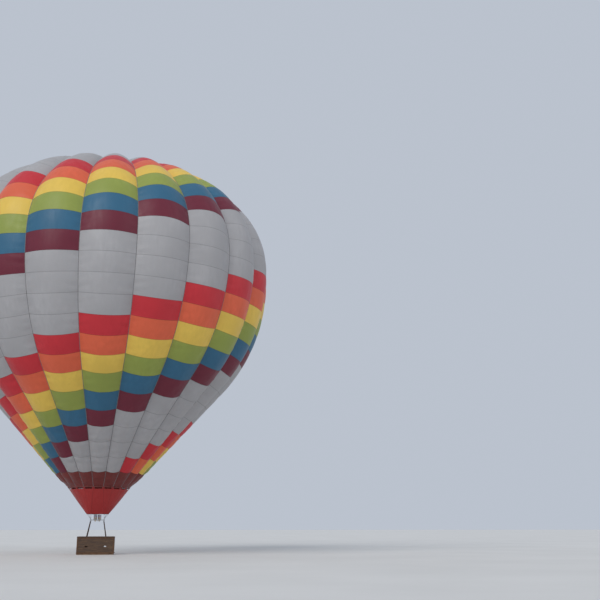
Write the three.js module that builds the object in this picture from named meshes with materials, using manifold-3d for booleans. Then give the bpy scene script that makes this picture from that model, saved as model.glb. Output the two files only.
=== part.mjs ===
// Hot air balloon, full size, in millimetres, +Z up.
// The origin is on the axis, at the widest ring of the envelope, where the hot air holds it up.
// An azimuth is counted from -Y towards +X.
import * as THREE from 'three';
import { mergeVertices } from 'three/addons/utils/BufferGeometryUtils.js';
import Module from 'manifold-3d';

const wasm = await Module();
wasm.setup();

// Envelope: sewn gores between load tapes
const GORES = 20;
const TAPE_RADIUS = 11200;
const CROWN_RISE = 0.74 * TAPE_RADIUS;
const BODY_ARC = 1.12 * TAPE_RADIUS;
const CONE_ANGLE = THREE.MathUtils.degToRad(40.5);
const PANEL_HEIGHT = 0.114 * TAPE_RADIUS;
const PANELS_BELOW = 14.25;
const FABRIC = 10;
const BULGE_SHARE = 0.052;
const CROWN_FULLNESS = 0.6;
const VENT_OPENING = 2370;
const GAP = 0.3;

// Crown: parachute vent, its seat and the tapes over it
const VENT_SEAT = 200;
const VENT_OVERLAP = 250;
const VENT_SEAT_GAP = 0.5;
const VENT_SHOULDER = 1100;
const VENT_DROP = 80;
const CROWN_TAPE = { width: 40, thickness: 6 };
const CROWN_RING = { outer: 220, inner: 160, height: 30 };

// Mouth hem, flying wires and scoop; heights from here on are above the basket's underside
const MOUTH_HEIGHT = 4500;
const HEM = { drop: 60, out: 12, inward: 60 };
const WIRE_INSET = 40;
const WIRE_RADIUS = 3;
const SCOOP = { top: 4350, bottom: 2700, clear: 12, tab: 60, cutter: 150 };

// Burner frame, gimbal and burners
const FRAME = { x: 450, y: 380, z: 2300, tube: 40 };
const CORNER = { size: 70, top: 2340 };
const SOCKET = { radius: 30, length: 60 };
const KARABINER = { radius: 40, height: 60, grip: 10, spread: 24 };
const GIMBAL = { x: 400, y: 330, tube: 30 };
const PIN = { radius: 10, clearance: 0.5, root: 10, length: 75, sides: 24 };
const PLATE = { x: 230, y: 100, thickness: 30, arm: 45, reach: 285 };
const BURNER_SPACING = 280;
const CAN = { foot: 60, bottom: 111, radius: 115, mouth: 119, top: 2660, wall: 4, floor: 10 };
const COIL = { inner: 74, outer: 100, groove: 88, turns: 5, pitch: 40 };
const VALVE = { x: 45, y: 60, height: 75, bar: 20 };
const LEVER = { width: 24, length: 170, thickness: 14, rise: 12, grip: 10 };

// Uprights and basket
const UPRIGHT = { radius: 27, footX: 640 };
const BASKET = { x: 1250, y: 750, wall: 40, wallTop: 1120 };
const RIM = { overhang: 25, top: 1200, corner: 90 };
const SKID = { width: 70, height: 50 };
const FLOOR = 20;
const CROSS_WALL = { x: 450, thickness: 30, top: 1050 };
const FOOT_HOLE = { width: 200, height: 120, z: 480, x: 620 };
const CYLINDER = { count: 4, radius: 145, height: 800, spacing: 300, edge: 30, dome: 60, clear: 5 };
const GUARD = { radius: 85, wall: 6, top: 920, neck: 40, valve: 60 };

const finish = {
  fabric: new THREE.MeshStandardMaterial({ color: 0xd8d8d4, roughness: 0.75 }),
  red: new THREE.MeshStandardMaterial({ color: 0xb3161c, roughness: 0.75 }),
  webbing: new THREE.MeshStandardMaterial({ color: 0xc9c4b6, roughness: 0.8 }),
  alloy: new THREE.MeshStandardMaterial({ color: 0xb9bcc0, roughness: 0.35, metalness: 1 }),
  steel: new THREE.MeshStandardMaterial({ color: 0x9a9c9e, roughness: 0.3, metalness: 1 }),
  brass: new THREE.MeshStandardMaterial({ color: 0xb08d4a, roughness: 0.35, metalness: 1 }),
  wicker: new THREE.MeshStandardMaterial({ color: 0x6b4a2a, roughness: 0.8 }),
  leather: new THREE.MeshStandardMaterial({ color: 0x4a2b18, roughness: 0.6 }),
  wood: new THREE.MeshStandardMaterial({ color: 0x9a7b52, roughness: 0.7 }),
};

const balloon = new THREE.Group();
const mouthZ = -BODY_ARC * Math.sin(CONE_ANGLE)
  - (PANELS_BELOW * PANEL_HEIGHT - BODY_ARC * CONE_ANGLE) * Math.cos(CONE_ANGLE);

// Everything under the mouth hangs in this group, whose zero is the basket's underside.
const underslung = new THREE.Group();
underslung.position.z = mouthZ - MOUTH_HEIGHT;
balloon.add(underslung);

function add(group, name, geometry, material) {
  const mesh = new THREE.Mesh(geometry, material);
  mesh.name = name;
  group.add(mesh);
  return mesh;
}

function solid(geometry) {
  const bare = geometry.clone();
  bare.deleteAttribute('normal');
  bare.deleteAttribute('uv');
  const merged = mergeVertices(bare, 1e-3);
  const vertProperties = new Float32Array(merged.attributes.position.array);
  const triVerts = new Uint32Array(merged.index.array);
  return new wasm.Manifold(new wasm.Mesh({ numProp: 3, vertProperties, triVerts }));
}

function geometryOf(manifold) {
  const mesh = manifold.getMesh();
  const geometry = new THREE.BufferGeometry();
  geometry.setAttribute('position', new THREE.BufferAttribute(mesh.vertProperties, 3));
  geometry.setIndex(new THREE.BufferAttribute(mesh.triVerts, 1));
  return geometry;
}

function joined(geometries) {
  return geometries.map(solid).reduce((whole, piece) => whole.add(piece));
}

function box(x, y, z, lowX, lowY, lowZ) {
  return new THREE.BoxGeometry(x, y, z).translate(lowX + x / 2, lowY + y / 2, lowZ + z / 2);
}

function centredBox(halfX, halfY, low, high, x = 0, y = 0) {
  return box(2 * halfX, 2 * halfY, high - low, x - halfX, y - halfY, low);
}

// A ring turned about Z from a closed profile of [radius, height], counter-clockwise.
function turned(profile, segments, start = 0) {
  const points = [...profile, profile[0]].map(([r, z]) => new THREE.Vector2(r, z));
  return new THREE.LatheGeometry(points, segments, start).rotateX(Math.PI / 2);
}

// A rectangular frame or wall with round corners, extruded upwards.
function rectangle(halfX, halfY, corner = 0) {
  const shape = new THREE.Shape();
  shape.moveTo(-halfX + corner, -halfY);
  shape.lineTo(halfX - corner, -halfY);
  if (corner) shape.absarc(halfX - corner, -halfY + corner, corner, -Math.PI / 2, 0);
  shape.lineTo(halfX, halfY - corner);
  if (corner) shape.absarc(halfX - corner, halfY - corner, corner, 0, Math.PI / 2);
  shape.lineTo(-halfX + corner, halfY);
  if (corner) shape.absarc(-halfX + corner, halfY - corner, corner, Math.PI / 2, Math.PI);
  shape.lineTo(-halfX, -halfY + corner);
  if (corner) shape.absarc(-halfX + corner, -halfY + corner, corner, Math.PI, 1.5 * Math.PI);
  return shape;
}

function extruded(shape, height, low) {
  const settings = { depth: height, bevelEnabled: false, curveSegments: 4 };
  return new THREE.ExtrudeGeometry(shape, settings).translate(0, 0, low);
}

// A straight round bar between two points.
function bar(from, to, radius, sides) {
  const along = new THREE.Vector3().subVectors(to, from);
  const up = new THREE.Vector3(0, 1, 0);
  const turn = new THREE.Quaternion().setFromUnitVectors(up, along.clone().normalize());
  const middle = from.clone().addScaledVector(along, 0.5);
  return new THREE.CylinderGeometry(radius, radius, along.length(), sides)
    .applyQuaternion(turn)
    .translate(middle.x, middle.y, middle.z);
}

// One point of the meridian at a load tape, with its outward normal.
// Above the widest ring it is an ellipse, below it an arc that runs into a straight cone.
function above(angle) {
  const normal = new THREE.Vector2(CROWN_RISE * Math.cos(angle), TAPE_RADIUS * Math.sin(angle)).normalize();
  return { r: TAPE_RADIUS * Math.cos(angle), z: CROWN_RISE * Math.sin(angle), nr: normal.x, nz: normal.y };
}

function below(distance) {
  const angle = Math.min(distance / BODY_ARC, CONE_ANGLE);
  const straight = Math.max(distance - BODY_ARC * CONE_ANGLE, 0);
  return {
    r: TAPE_RADIUS - BODY_ARC * (1 - Math.cos(angle)) - straight * Math.sin(angle),
    z: -BODY_ARC * Math.sin(angle) - straight * Math.cos(angle),
    nr: Math.cos(angle),
    nz: -Math.sin(angle),
  };
}

// Stations of a gore from the mouth up to the vent opening; only the two ends don't bulge,
// and the bulge gets fuller towards the crown.
const ARC_SPANS = 6;
const CROWN_SPANS = 10;
const mouthDistance = PANELS_BELOW * PANEL_HEIGHT;
const coneTop = BODY_ARC * CONE_ANGLE;
const ventAngle = Math.acos(VENT_OPENING / TAPE_RADIUS);
const stations = [mouthDistance, mouthDistance - PANEL_HEIGHT, (mouthDistance + coneTop) / 2].map(below);
for (let i = ARC_SPANS; i > 0; i -= 1) stations.push(below(coneTop * i / ARC_SPANS));
for (let i = 0; i <= CROWN_SPANS; i += 1) stations.push(above(ventAngle * i / CROWN_SPANS));
const mouth = stations[0];
const ventEdge = stations[stations.length - 1];
const ventEdgeBelow = stations[stations.length - 2];
const HALF_GORE = Math.PI / GORES;

function gore(azimuth) {
  const across = [-1, -0.5, 0, 0.5, 1];
  const rows = across.length;
  const positions = [];
  for (const layer of [0, FABRIC]) {
    for (const station of stations) {
      const end = station === mouth || station === ventEdge;
      const fuller = 1 + CROWN_FULLNESS * Math.max(station.z, 0) / CROWN_RISE;
      const share = end ? 0 : BULGE_SHARE * fuller;
      for (const a of across) {
        const swell = share * station.r * (1 - a * a);
        const side = a * (station.r * Math.sin(HALF_GORE) - GAP / 2 / Math.cos(HALF_GORE));
        const out = station.r * Math.cos(HALF_GORE) + swell * station.nr;
        const turn = a * HALF_GORE;
        const x = side - layer * station.nr * Math.sin(turn);
        const y = out - layer * station.nr * Math.cos(turn);
        positions.push(x, -y, station.z + (swell - layer) * station.nz);
      }
    }
  }
  const inner = stations.length * rows;
  const index = [];
  const quad = (a, b, c, d) => index.push(a, b, c, a, c, d);
  for (let i = 0; i < stations.length - 1; i += 1) {
    for (let j = 0; j < rows - 1; j += 1) {
      const low = i * rows + j;
      quad(low, low + 1, low + rows + 1, low + rows);
      quad(inner + low, inner + low + rows, inner + low + rows + 1, inner + low + 1);
    }
    const left = i * rows;
    const right = left + rows - 1;
    quad(left, left + rows, inner + left + rows, inner + left);
    quad(right, inner + right, inner + right + rows, right + rows);
  }
  const top = (stations.length - 1) * rows;
  for (let j = 0; j < rows - 1; j += 1) {
    quad(j, inner + j, inner + j + 1, j + 1);
    quad(top + j, top + j + 1, inner + top + j + 1, inner + top + j);
  }
  const geometry = new THREE.BufferGeometry();
  geometry.setAttribute('position', new THREE.Float32BufferAttribute(positions, 3));
  geometry.setIndex(index);
  return geometry.rotateZ(azimuth);
}

for (let g = 0; g < GORES; g += 1) {
  const name = `gore_${String(g + 1).padStart(2, '0')}`;
  add(balloon, name, gore(2 * HALF_GORE * g), finish.fabric);
}

// Crown. Points are [radius, height] in the plane of a load tape.
const inwards = [-ventEdge.nz, ventEdge.nr];
function fromVentEdge(along, depth) {
  return [
    ventEdge.r + along * inwards[0] - depth * ventEdge.nr,
    ventEdge.z + along * inwards[1] - depth * ventEdge.nz,
  ];
}

function crownHeight(radius) {
  return CROWN_RISE * Math.sqrt(1 - (radius / TAPE_RADIUS) ** 2);
}

function ventSeat() {
  return turned([
    fromVentEdge(GAP, FABRIC),
    fromVentEdge(GAP, 0),
    fromVentEdge(VENT_SEAT, 0),
    fromVentEdge(VENT_SEAT, FABRIC),
  ], GORES, HALF_GORE);
}

// The vent's skin lies just under the seat and under the last stretch of the gores.
function parachuteVent() {
  const depth = FABRIC + VENT_SEAT_GAP;
  const lower = [ventEdgeBelow.r - depth * ventEdgeBelow.nr, ventEdgeBelow.z - depth * ventEdgeBelow.nz];
  const edge = fromVentEdge(0, depth);
  const share = VENT_OVERLAP / Math.hypot(lower[0] - edge[0], lower[1] - edge[1]);
  const rim = [edge[0] + share * (lower[0] - edge[0]), edge[1] + share * (lower[1] - edge[1])];
  const top = [
    rim,
    edge,
    fromVentEdge(VENT_SEAT * 1.25, depth),
    [VENT_SHOULDER, crownHeight(VENT_SHOULDER) - VENT_DROP],
    [0, crownHeight(0) - VENT_DROP],
  ];
  const under = top.map(([r, z]) => [r, z - FABRIC]).reverse();
  return turned([...under, ...top], GORES, HALF_GORE);
}

function crownTapes() {
  const ringRadius = (CROWN_RING.inner + CROWN_RING.outer) / 2;
  const line = [
    fromVentEdge(GAP, -GAP),
    fromVentEdge(VENT_SEAT, -GAP),
    [VENT_SHOULDER, crownHeight(VENT_SHOULDER)],
    [ringRadius, crownHeight(ringRadius)],
  ];
  const outline = [...line, ...line.map(([r, z]) => [r, z + CROWN_TAPE.thickness]).reverse()];
  const shape = new THREE.Shape(outline.map(([r, z]) => new THREE.Vector2(r, z)));
  const tape = extruded(shape, CROWN_TAPE.width, -CROWN_TAPE.width / 2).rotateX(Math.PI / 2);
  const low = crownHeight(ringRadius) - CROWN_RING.height / 2;
  const high = low + CROWN_RING.height;
  const ring = turned([
    [CROWN_RING.inner, low],
    [CROWN_RING.outer, low],
    [CROWN_RING.outer, high],
    [CROWN_RING.inner, high],
  ], 2 * GORES);
  const pieces = [ring];
  for (let g = 0; g < GORES; g += 1) pieces.push(tape.clone().rotateZ(HALF_GORE * (2 * g + 1) - Math.PI / 2));
  return geometryOf(joined(pieces));
}

add(balloon, 'vent_seat', ventSeat(), finish.webbing);
add(balloon, 'parachute_vent', parachuteVent(), finish.fabric);
add(balloon, 'crown_tapes', crownTapes(), finish.webbing);

// Mouth hem: it carries the tapes' ends above, the flying wires and the scoop's tabs below.
const hemUnderside = MOUTH_HEIGHT - HEM.drop;
const hem = turned([
  [mouth.r - HEM.inward, hemUnderside],
  [mouth.r + HEM.out, hemUnderside],
  [mouth.r - GAP * Math.sin(CONE_ANGLE), MOUTH_HEIGHT - GAP * Math.cos(CONE_ANGLE)],
  [
    mouth.r - FABRIC * mouth.nr - GAP * Math.sin(CONE_ANGLE),
    MOUTH_HEIGHT - FABRIC * mouth.nz - GAP * Math.cos(CONE_ANGLE),
  ],
], GORES, HALF_GORE);
add(underslung, 'mouth_hem', hem, finish.webbing);

// Flying wires: one for each load tape, five to each corner of the burner frame.
const QUADRANTS = [[1, -1], [1, 1], [-1, 1], [-1, -1]];
const WIRES_EACH = GORES / QUADRANTS.length;
const karabinerTop = CORNER.top + GAP + KARABINER.height;
const wireRing = mouth.r - WIRE_INSET;

function tapeDirection(index) {
  const azimuth = HALF_GORE * (2 * index + 1);
  return new THREE.Vector3(Math.sin(azimuth), -Math.cos(azimuth), 0);
}

function wirePoint(index, height) {
  const [sx, sy] = QUADRANTS[Math.floor(index / WIRES_EACH)];
  const top = tapeDirection(index).multiplyScalar(wireRing).setZ(hemUnderside);
  const foot = new THREE.Vector3(sx * FRAME.x, sy * FRAME.y, karabinerTop - KARABINER.grip)
    .addScaledVector(tapeDirection(index), KARABINER.spread);
  return foot.lerp(top, (height - foot.z) / (top.z - foot.z));
}

for (let q = 0; q < QUADRANTS.length; q += 1) {
  const [sx, sy] = QUADRANTS[q];
  const karabiner = new THREE.CylinderGeometry(KARABINER.radius, KARABINER.radius, KARABINER.height, 8)
    .rotateX(Math.PI / 2)
    .translate(sx * FRAME.x, sy * FRAME.y, karabinerTop - KARABINER.height / 2);
  const pieces = [karabiner];
  for (let w = 0; w < WIRES_EACH; w += 1) {
    const index = q * WIRES_EACH + w;
    const foot = wirePoint(index, karabinerTop - KARABINER.grip);
    const hook = wirePoint(index, hemUnderside);
    const tilt = hook.clone().sub(foot).angleTo(new THREE.Vector3(0, 0, 1));
    const top = wirePoint(index, hemUnderside - GAP - WIRE_RADIUS * Math.sin(tilt));
    pieces.push(bar(foot, top, WIRE_RADIUS, 6));
  }
  add(underslung, `flying_wires_${q + 1}`, geometryOf(joined(pieces)), finish.steel);
}

// Scoop: a fabric skirt just outside the wires, hung from the hem by a tab at each tape.
function scoop() {
  const heights = [SCOOP.bottom, hemUnderside - GAP];
  const positions = [];
  for (const offset of [SCOOP.clear + FABRIC, SCOOP.clear]) {
    for (const height of heights) {
      for (let i = 0; i < GORES; i += 1) {
        const point = wirePoint(i, height).addScaledVector(tapeDirection(i), offset);
        positions.push(point.x, point.y, point.z);
      }
    }
  }
  const index = [];
  const quad = (a, b, c, d) => index.push(a, b, c, a, c, d);
  for (let i = 0; i < GORES; i += 1) {
    const j = (i + 1) % GORES;
    quad(i, j, GORES + j, GORES + i);
    quad(3 * GORES + i, 3 * GORES + j, 2 * GORES + j, 2 * GORES + i);
    quad(GORES + i, GORES + j, 3 * GORES + j, 3 * GORES + i);
    quad(2 * GORES + i, 2 * GORES + j, j, i);
  }
  const skirt = new THREE.BufferGeometry();
  skirt.setAttribute('position', new THREE.Float32BufferAttribute(positions, 3));
  skirt.setIndex(index);
  const window = 2 * wireRing * Math.sin(HALF_GORE) - 2 * SCOOP.tab;
  let cut = solid(skirt);
  for (let g = 0; g < GORES; g += 1) {
    const notch = centredBox(window / 2, SCOOP.cutter, SCOOP.top, MOUTH_HEIGHT, 0, -wireRing);
    cut = cut.subtract(solid(notch.rotateZ(2 * HALF_GORE * g)));
  }
  return geometryOf(cut);
}

add(underslung, 'scoop', scoop(), finish.red);

// Burner frame with a corner block and an upright socket at each corner, and the gimbal's bores.
function boreAlong(axis, length, x, y, z) {
  const radius = PIN.radius + PIN.clearance;
  const bore = new THREE.CylinderGeometry(radius, radius, length, PIN.sides);
  if (axis === 'x') bore.rotateZ(Math.PI / 2);
  return bore.translate(x, y, z);
}

function pinAlong(axis, length, x, y, z) {
  const pin = new THREE.CylinderGeometry(PIN.radius, PIN.radius, length, PIN.sides);
  if (axis === 'x') pin.rotateZ(Math.PI / 2);
  return pin.translate(x, y, z);
}

function tubeFrame(halfX, halfY, tube) {
  const outline = rectangle(halfX + tube / 2, halfY + tube / 2);
  outline.holes.push(rectangle(halfX - tube / 2, halfY - tube / 2));
  return extruded(outline, tube, FRAME.z - tube / 2);
}

function burnerFrame() {
  const low = FRAME.z - FRAME.tube / 2;
  const pieces = [tubeFrame(FRAME.x, FRAME.y, FRAME.tube)];
  for (const [sx, sy] of QUADRANTS) {
    const x = sx * FRAME.x;
    const y = sy * FRAME.y;
    pieces.push(centredBox(CORNER.size / 2, CORNER.size / 2, low, CORNER.top, x, y));
    pieces.push(bar(
      new THREE.Vector3(x, y, low - SOCKET.length),
      new THREE.Vector3(x, y, FRAME.z),
      SOCKET.radius,
      12,
    ));
  }
  let frame = joined(pieces);
  for (const side of [-1, 1]) {
    frame = frame.subtract(solid(boreAlong('x', 2 * FRAME.tube, side * FRAME.x, 0, FRAME.z)));
  }
  return geometryOf(frame);
}

function gimbalRing() {
  const pieces = [tubeFrame(GIMBAL.x - GIMBAL.tube / 2, GIMBAL.y - GIMBAL.tube / 2, GIMBAL.tube)];
  for (const side of [-1, 1]) {
    pieces.push(pinAlong('x', PIN.length, side * (GIMBAL.x - PIN.root + PIN.length / 2), 0, FRAME.z));
  }
  let ring = joined(pieces);
  for (const side of [-1, 1]) {
    const y = side * (GIMBAL.y - GIMBAL.tube / 2);
    ring = ring.subtract(solid(boreAlong('y', 2 * GIMBAL.tube, 0, y, FRAME.z)));
  }
  return geometryOf(ring);
}

// The burner plate swings in the gimbal on pins along Y.
const plateLow = FRAME.z - PLATE.thickness / 2;
const plateHigh = FRAME.z + PLATE.thickness / 2;
function burnerPlate() {
  const pieces = [
    centredBox(PLATE.x, PLATE.y, plateLow, plateHigh),
    centredBox(PLATE.arm, PLATE.reach, plateLow, plateHigh),
  ];
  for (const side of [-1, 1]) {
    const length = GIMBAL.y - PLATE.reach + PIN.root;
    pieces.push(pinAlong('y', length, 0, side * (GIMBAL.y - length / 2), FRAME.z));
  }
  return geometryOf(joined(pieces));
}

function burnerCan(x) {
  const foot = plateHigh + GAP;
  return turned([
    [CAN.foot, foot],
    [CAN.radius, foot],
    [CAN.mouth, CAN.top],
    [CAN.mouth - CAN.wall, CAN.top],
    [CAN.bottom, foot + CAN.floor],
    [CAN.foot, foot + CAN.floor],
  ], 24).translate(x, 0, 0);
}

function burnerCoil(x) {
  const foot = plateHigh + GAP + CAN.floor + GAP;
  const outside = [];
  for (let turn = 0; turn < COIL.turns; turn += 1) {
    const low = foot + turn * COIL.pitch;
    outside.push([COIL.groove, low], [COIL.outer, low + COIL.pitch / 2]);
  }
  const top = foot + COIL.turns * COIL.pitch;
  const profile = [[COIL.inner, foot], ...outside, [COIL.groove, top], [COIL.inner, top]];
  return turned(profile, 16).translate(x, 0, 0);
}

// Two valve blocks on one cross bar, each with its lever reaching to the front.
function valves() {
  const high = plateLow - GAP;
  const low = high - VALVE.height;
  const middle = (low + high) / 2;
  const half = BURNER_SPACING / 2;
  const pieces = [centredBox(half, VALVE.bar / 2, middle - VALVE.bar / 2, middle + VALVE.bar / 2)];
  for (const side of [-1, 1]) {
    const x = side * half;
    pieces.push(centredBox(VALVE.x, VALVE.y, low, high, x));
    pieces.push(box(
      LEVER.width,
      LEVER.length,
      LEVER.thickness,
      x - LEVER.width / 2,
      LEVER.grip - VALVE.y - LEVER.length,
      low + LEVER.rise,
    ));
  }
  return geometryOf(joined(pieces));
}

add(underslung, 'burner_frame', burnerFrame(), finish.alloy);
add(underslung, 'gimbal_ring', gimbalRing(), finish.alloy);
add(underslung, 'burner_plate', burnerPlate(), finish.alloy);
for (const [number, side] of [[1, -1], [2, 1]]) {
  const x = side * BURNER_SPACING / 2;
  add(underslung, `burner_can_${number}`, burnerCan(x), finish.steel);
  add(underslung, `burner_coil_${number}`, burnerCoil(x), finish.steel);
}
add(underslung, 'blast_valves', valves(), finish.brass);

// Padded uprights lean in from the rim to the frame's sockets; both ends are level.
const uprightFoot = RIM.top + GAP;
const uprightHead = FRAME.z - FRAME.tube / 2 - SOCKET.length - GAP;
const footY = BASKET.y - BASKET.wall / 2;
QUADRANTS.forEach(([sx, sy], q) => {
  const height = uprightHead - uprightFoot;
  const leanX = (FRAME.x - UPRIGHT.footX) / height;
  const leanY = (FRAME.y - footY) / height;
  const lean = new THREE.Matrix4().set(1, 0, sx * leanX, 0, 0, 1, sy * leanY, 0, 0, 0, 1, 0, 0, 0, 0, 1);
  const pole = new THREE.CylinderGeometry(UPRIGHT.radius, UPRIGHT.radius, height, 12)
    .rotateX(Math.PI / 2)
    .translate(0, 0, height / 2)
    .applyMatrix4(lean)
    .translate(sx * UPRIGHT.footX, sy * footY, uprightFoot);
  add(underslung, `upright_${q + 1}`, pole, finish.leather);
});

// Basket: skids on two battens, a floor, woven walls with foot holes, inner walls and a padded rim.
function skids() {
  const places = [-(BASKET.y - SKID.width / 2), 0, BASKET.y - SKID.width / 2];
  const pieces = places.map((y) => centredBox(BASKET.x, SKID.width / 2, 0, SKID.height, 0, y));
  for (const x of [-0.6 * BASKET.x, 0.6 * BASKET.x]) {
    pieces.push(centredBox(SKID.width / 2, BASKET.y - SKID.width / 2, SKID.height / 2, SKID.height, x));
  }
  return geometryOf(joined(pieces));
}

const wallLow = SKID.height + GAP;
function longWall(side) {
  const middle = side * (BASKET.y - BASKET.wall / 2);
  let wall = solid(centredBox(BASKET.x, BASKET.wall / 2, wallLow, BASKET.wallTop, 0, middle));
  for (const x of [-FOOT_HOLE.x, FOOT_HOLE.x]) {
    const high = FOOT_HOLE.z + FOOT_HOLE.height;
    const hole = centredBox(FOOT_HOLE.width / 2, BASKET.wall, FOOT_HOLE.z, high, x, middle);
    wall = wall.subtract(solid(hole));
  }
  return geometryOf(wall);
}

const innerX = BASKET.x - BASKET.wall;
const innerY = BASKET.y - BASKET.wall;
const deck = wallLow + FLOOR;
const rimShape = rectangle(BASKET.x + RIM.overhang, BASKET.y + RIM.overhang, RIM.corner);
rimShape.holes.push(rectangle(innerX - RIM.overhang, innerY - RIM.overhang, RIM.corner / 2));

add(underslung, 'skids', skids(), finish.wood);
add(underslung, 'floor', centredBox(innerX - GAP, innerY - GAP, wallLow, deck), finish.wood);
add(underslung, 'wall_front', longWall(-1), finish.wicker);
add(underslung, 'wall_back', longWall(1), finish.wicker);
for (const [name, side] of [['wall_left', -1], ['wall_right', 1]]) {
  const x = side * (BASKET.x - BASKET.wall / 2);
  add(underslung, name, centredBox(BASKET.wall / 2, innerY - GAP, wallLow, BASKET.wallTop, x), finish.wicker);
}
const crossHalf = CROSS_WALL.thickness / 2;
const crossWall = centredBox(crossHalf, innerY - GAP, deck + GAP, CROSS_WALL.top, CROSS_WALL.x);
add(underslung, 'inner_wall_cross', crossWall, finish.wicker);
const longLeft = -innerX + GAP;
const longRight = CROSS_WALL.x - crossHalf - GAP;
const longInner = box(
  longRight - longLeft,
  CROSS_WALL.thickness,
  CROSS_WALL.top - deck - GAP,
  longLeft,
  -crossHalf,
  deck + GAP,
);
add(underslung, 'inner_wall_long', longInner, finish.wicker);
const rim = extruded(rimShape, RIM.top - BASKET.wallTop - GAP, BASKET.wallTop + GAP);
add(underslung, 'padded_rim', rim, finish.leather);

// Fuel cylinders in a row against the right-hand end wall.
function cylinder(y) {
  const foot = deck + GAP;
  const shoulder = foot + CYLINDER.height;
  const profile = [
    [0, foot],
    [CYLINDER.radius - CYLINDER.edge / 2, foot],
    [CYLINDER.radius, foot + CYLINDER.edge],
    [CYLINDER.radius, shoulder - CYLINDER.dome],
    [GUARD.radius, shoulder],
    [GUARD.radius, foot + GUARD.top],
    [GUARD.radius - GUARD.wall, foot + GUARD.top],
    [GUARD.radius - GUARD.wall, shoulder + GUARD.wall],
    [GUARD.neck, shoulder + GUARD.wall],
    [GUARD.neck, shoulder + GUARD.valve],
    [0, shoulder + GUARD.valve],
  ];
  return turned(profile, 16).translate(innerX - CYLINDER.radius - CYLINDER.clear, y, 0);
}

for (let i = 0; i < CYLINDER.count; i += 1) {
  const y = (i - (CYLINDER.count - 1) / 2) * CYLINDER.spacing;
  add(underslung, `fuel_cylinder_${i + 1}`, cylinder(y), finish.alloy);
}

export default balloon;
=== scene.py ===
from math import acos, cos, pi, radians, sin, sqrt

import bmesh
import bpy
import numpy as np
from mathutils import Matrix, Vector


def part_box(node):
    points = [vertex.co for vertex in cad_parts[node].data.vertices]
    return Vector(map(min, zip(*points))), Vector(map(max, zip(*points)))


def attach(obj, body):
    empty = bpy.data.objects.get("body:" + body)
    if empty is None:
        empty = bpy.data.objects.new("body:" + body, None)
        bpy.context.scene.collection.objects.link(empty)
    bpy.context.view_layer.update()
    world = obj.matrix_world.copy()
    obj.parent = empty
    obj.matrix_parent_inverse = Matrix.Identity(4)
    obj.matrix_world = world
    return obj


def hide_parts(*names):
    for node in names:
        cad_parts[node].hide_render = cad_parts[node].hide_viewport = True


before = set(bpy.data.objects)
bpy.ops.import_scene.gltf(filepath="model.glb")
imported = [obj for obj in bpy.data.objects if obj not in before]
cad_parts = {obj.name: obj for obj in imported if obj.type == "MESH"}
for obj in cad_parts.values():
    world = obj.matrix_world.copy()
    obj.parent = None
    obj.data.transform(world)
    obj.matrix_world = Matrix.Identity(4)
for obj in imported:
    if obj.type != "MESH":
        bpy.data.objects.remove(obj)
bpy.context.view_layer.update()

# Metres, +Z up. The origin is on the axis at the widest ring; an azimuth runs from -Y towards +X.
# Envelope
GORES = 20
HALF_GORE = pi / GORES
TAPE_RADIUS = 11.2
CROWN_RISE = 0.74 * TAPE_RADIUS
BODY_ARC = 1.12 * TAPE_RADIUS
CONE_ANGLE = radians(40.5)
PANEL_HEIGHT = 0.114 * TAPE_RADIUS
FIRST_RING = 0.25
MOUTH_RING = 14
BULGE_SHARE = 0.052
CROWN_FULLNESS = 0.6
PANEL_STEPS, ACROSS_STEPS = 12, 24
# Sewn ring, how far it lies below its even place
RING_SHIFTS = [(-3, 0.0), (0, -0.17), (7, -0.19), (9, 0.11), (13, 0.0)]
PILLOW, GATHER, FOLD = 0.016, 0.014, 0.03
TAPE_HALF, TAPE_PROUD, TAPE_THICKNESS = 0.015, 0.005, 0.003
TAPE_STEPS = 8

# Crown
VENT_OPENING = 2.37
VENT_SEAT = 0.2
VENT_OVERLAP = 0.25
VENT_SHOULDER = 1.1
VENT_DROP = 0.08
VENT_DEPTH = 0.0125
VENT_SWELL, VENT_CREASE = 0.045, 0.006
CROWN_RING, CROWN_RING_BAR = 0.19, 0.015

# Heights from here on are above the basket's underside
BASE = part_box("skids")[0].z
HEM_DROP = 0.06
WIRE_INSET, WIRE_RADIUS = 0.04, 0.003
WIRE_FOOT = 2.3903
WIRE_HEAD = 4.5 - HEM_DROP
KARABINER_SPREAD = 0.024
SCOOP_BOTTOM, SCOOP_TOP = 2.7, 4.35
SCOOP_CLEAR, SCOOP_TAB = 0.017, 0.06
SCOOP_FULL, SCOOP_FOLD, SCOOP_SCALLOP = 0.028, 0.0045, 0.01
FRAME_X, FRAME_Y, FRAME_Z = 0.45, 0.38, 2.3
PLATE_TOP = FRAME_Z + 0.015
BURNER_X = 0.14
CAN_FOOT, CAN_TOP, CAN_RADIUS, CAN_WALL = PLATE_TOP + 0.0003, 2.66, 0.115, 0.0025
COIL_LOW = CAN_FOOT + 0.0235
COIL_TURNS, COIL_PITCH, COIL_RADIUS, COIL_PIPE = 4.35, 0.04, 0.0865, 0.0115
JET_RING = 0.045
VALVE_LOW = FRAME_Z - 0.0903

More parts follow.
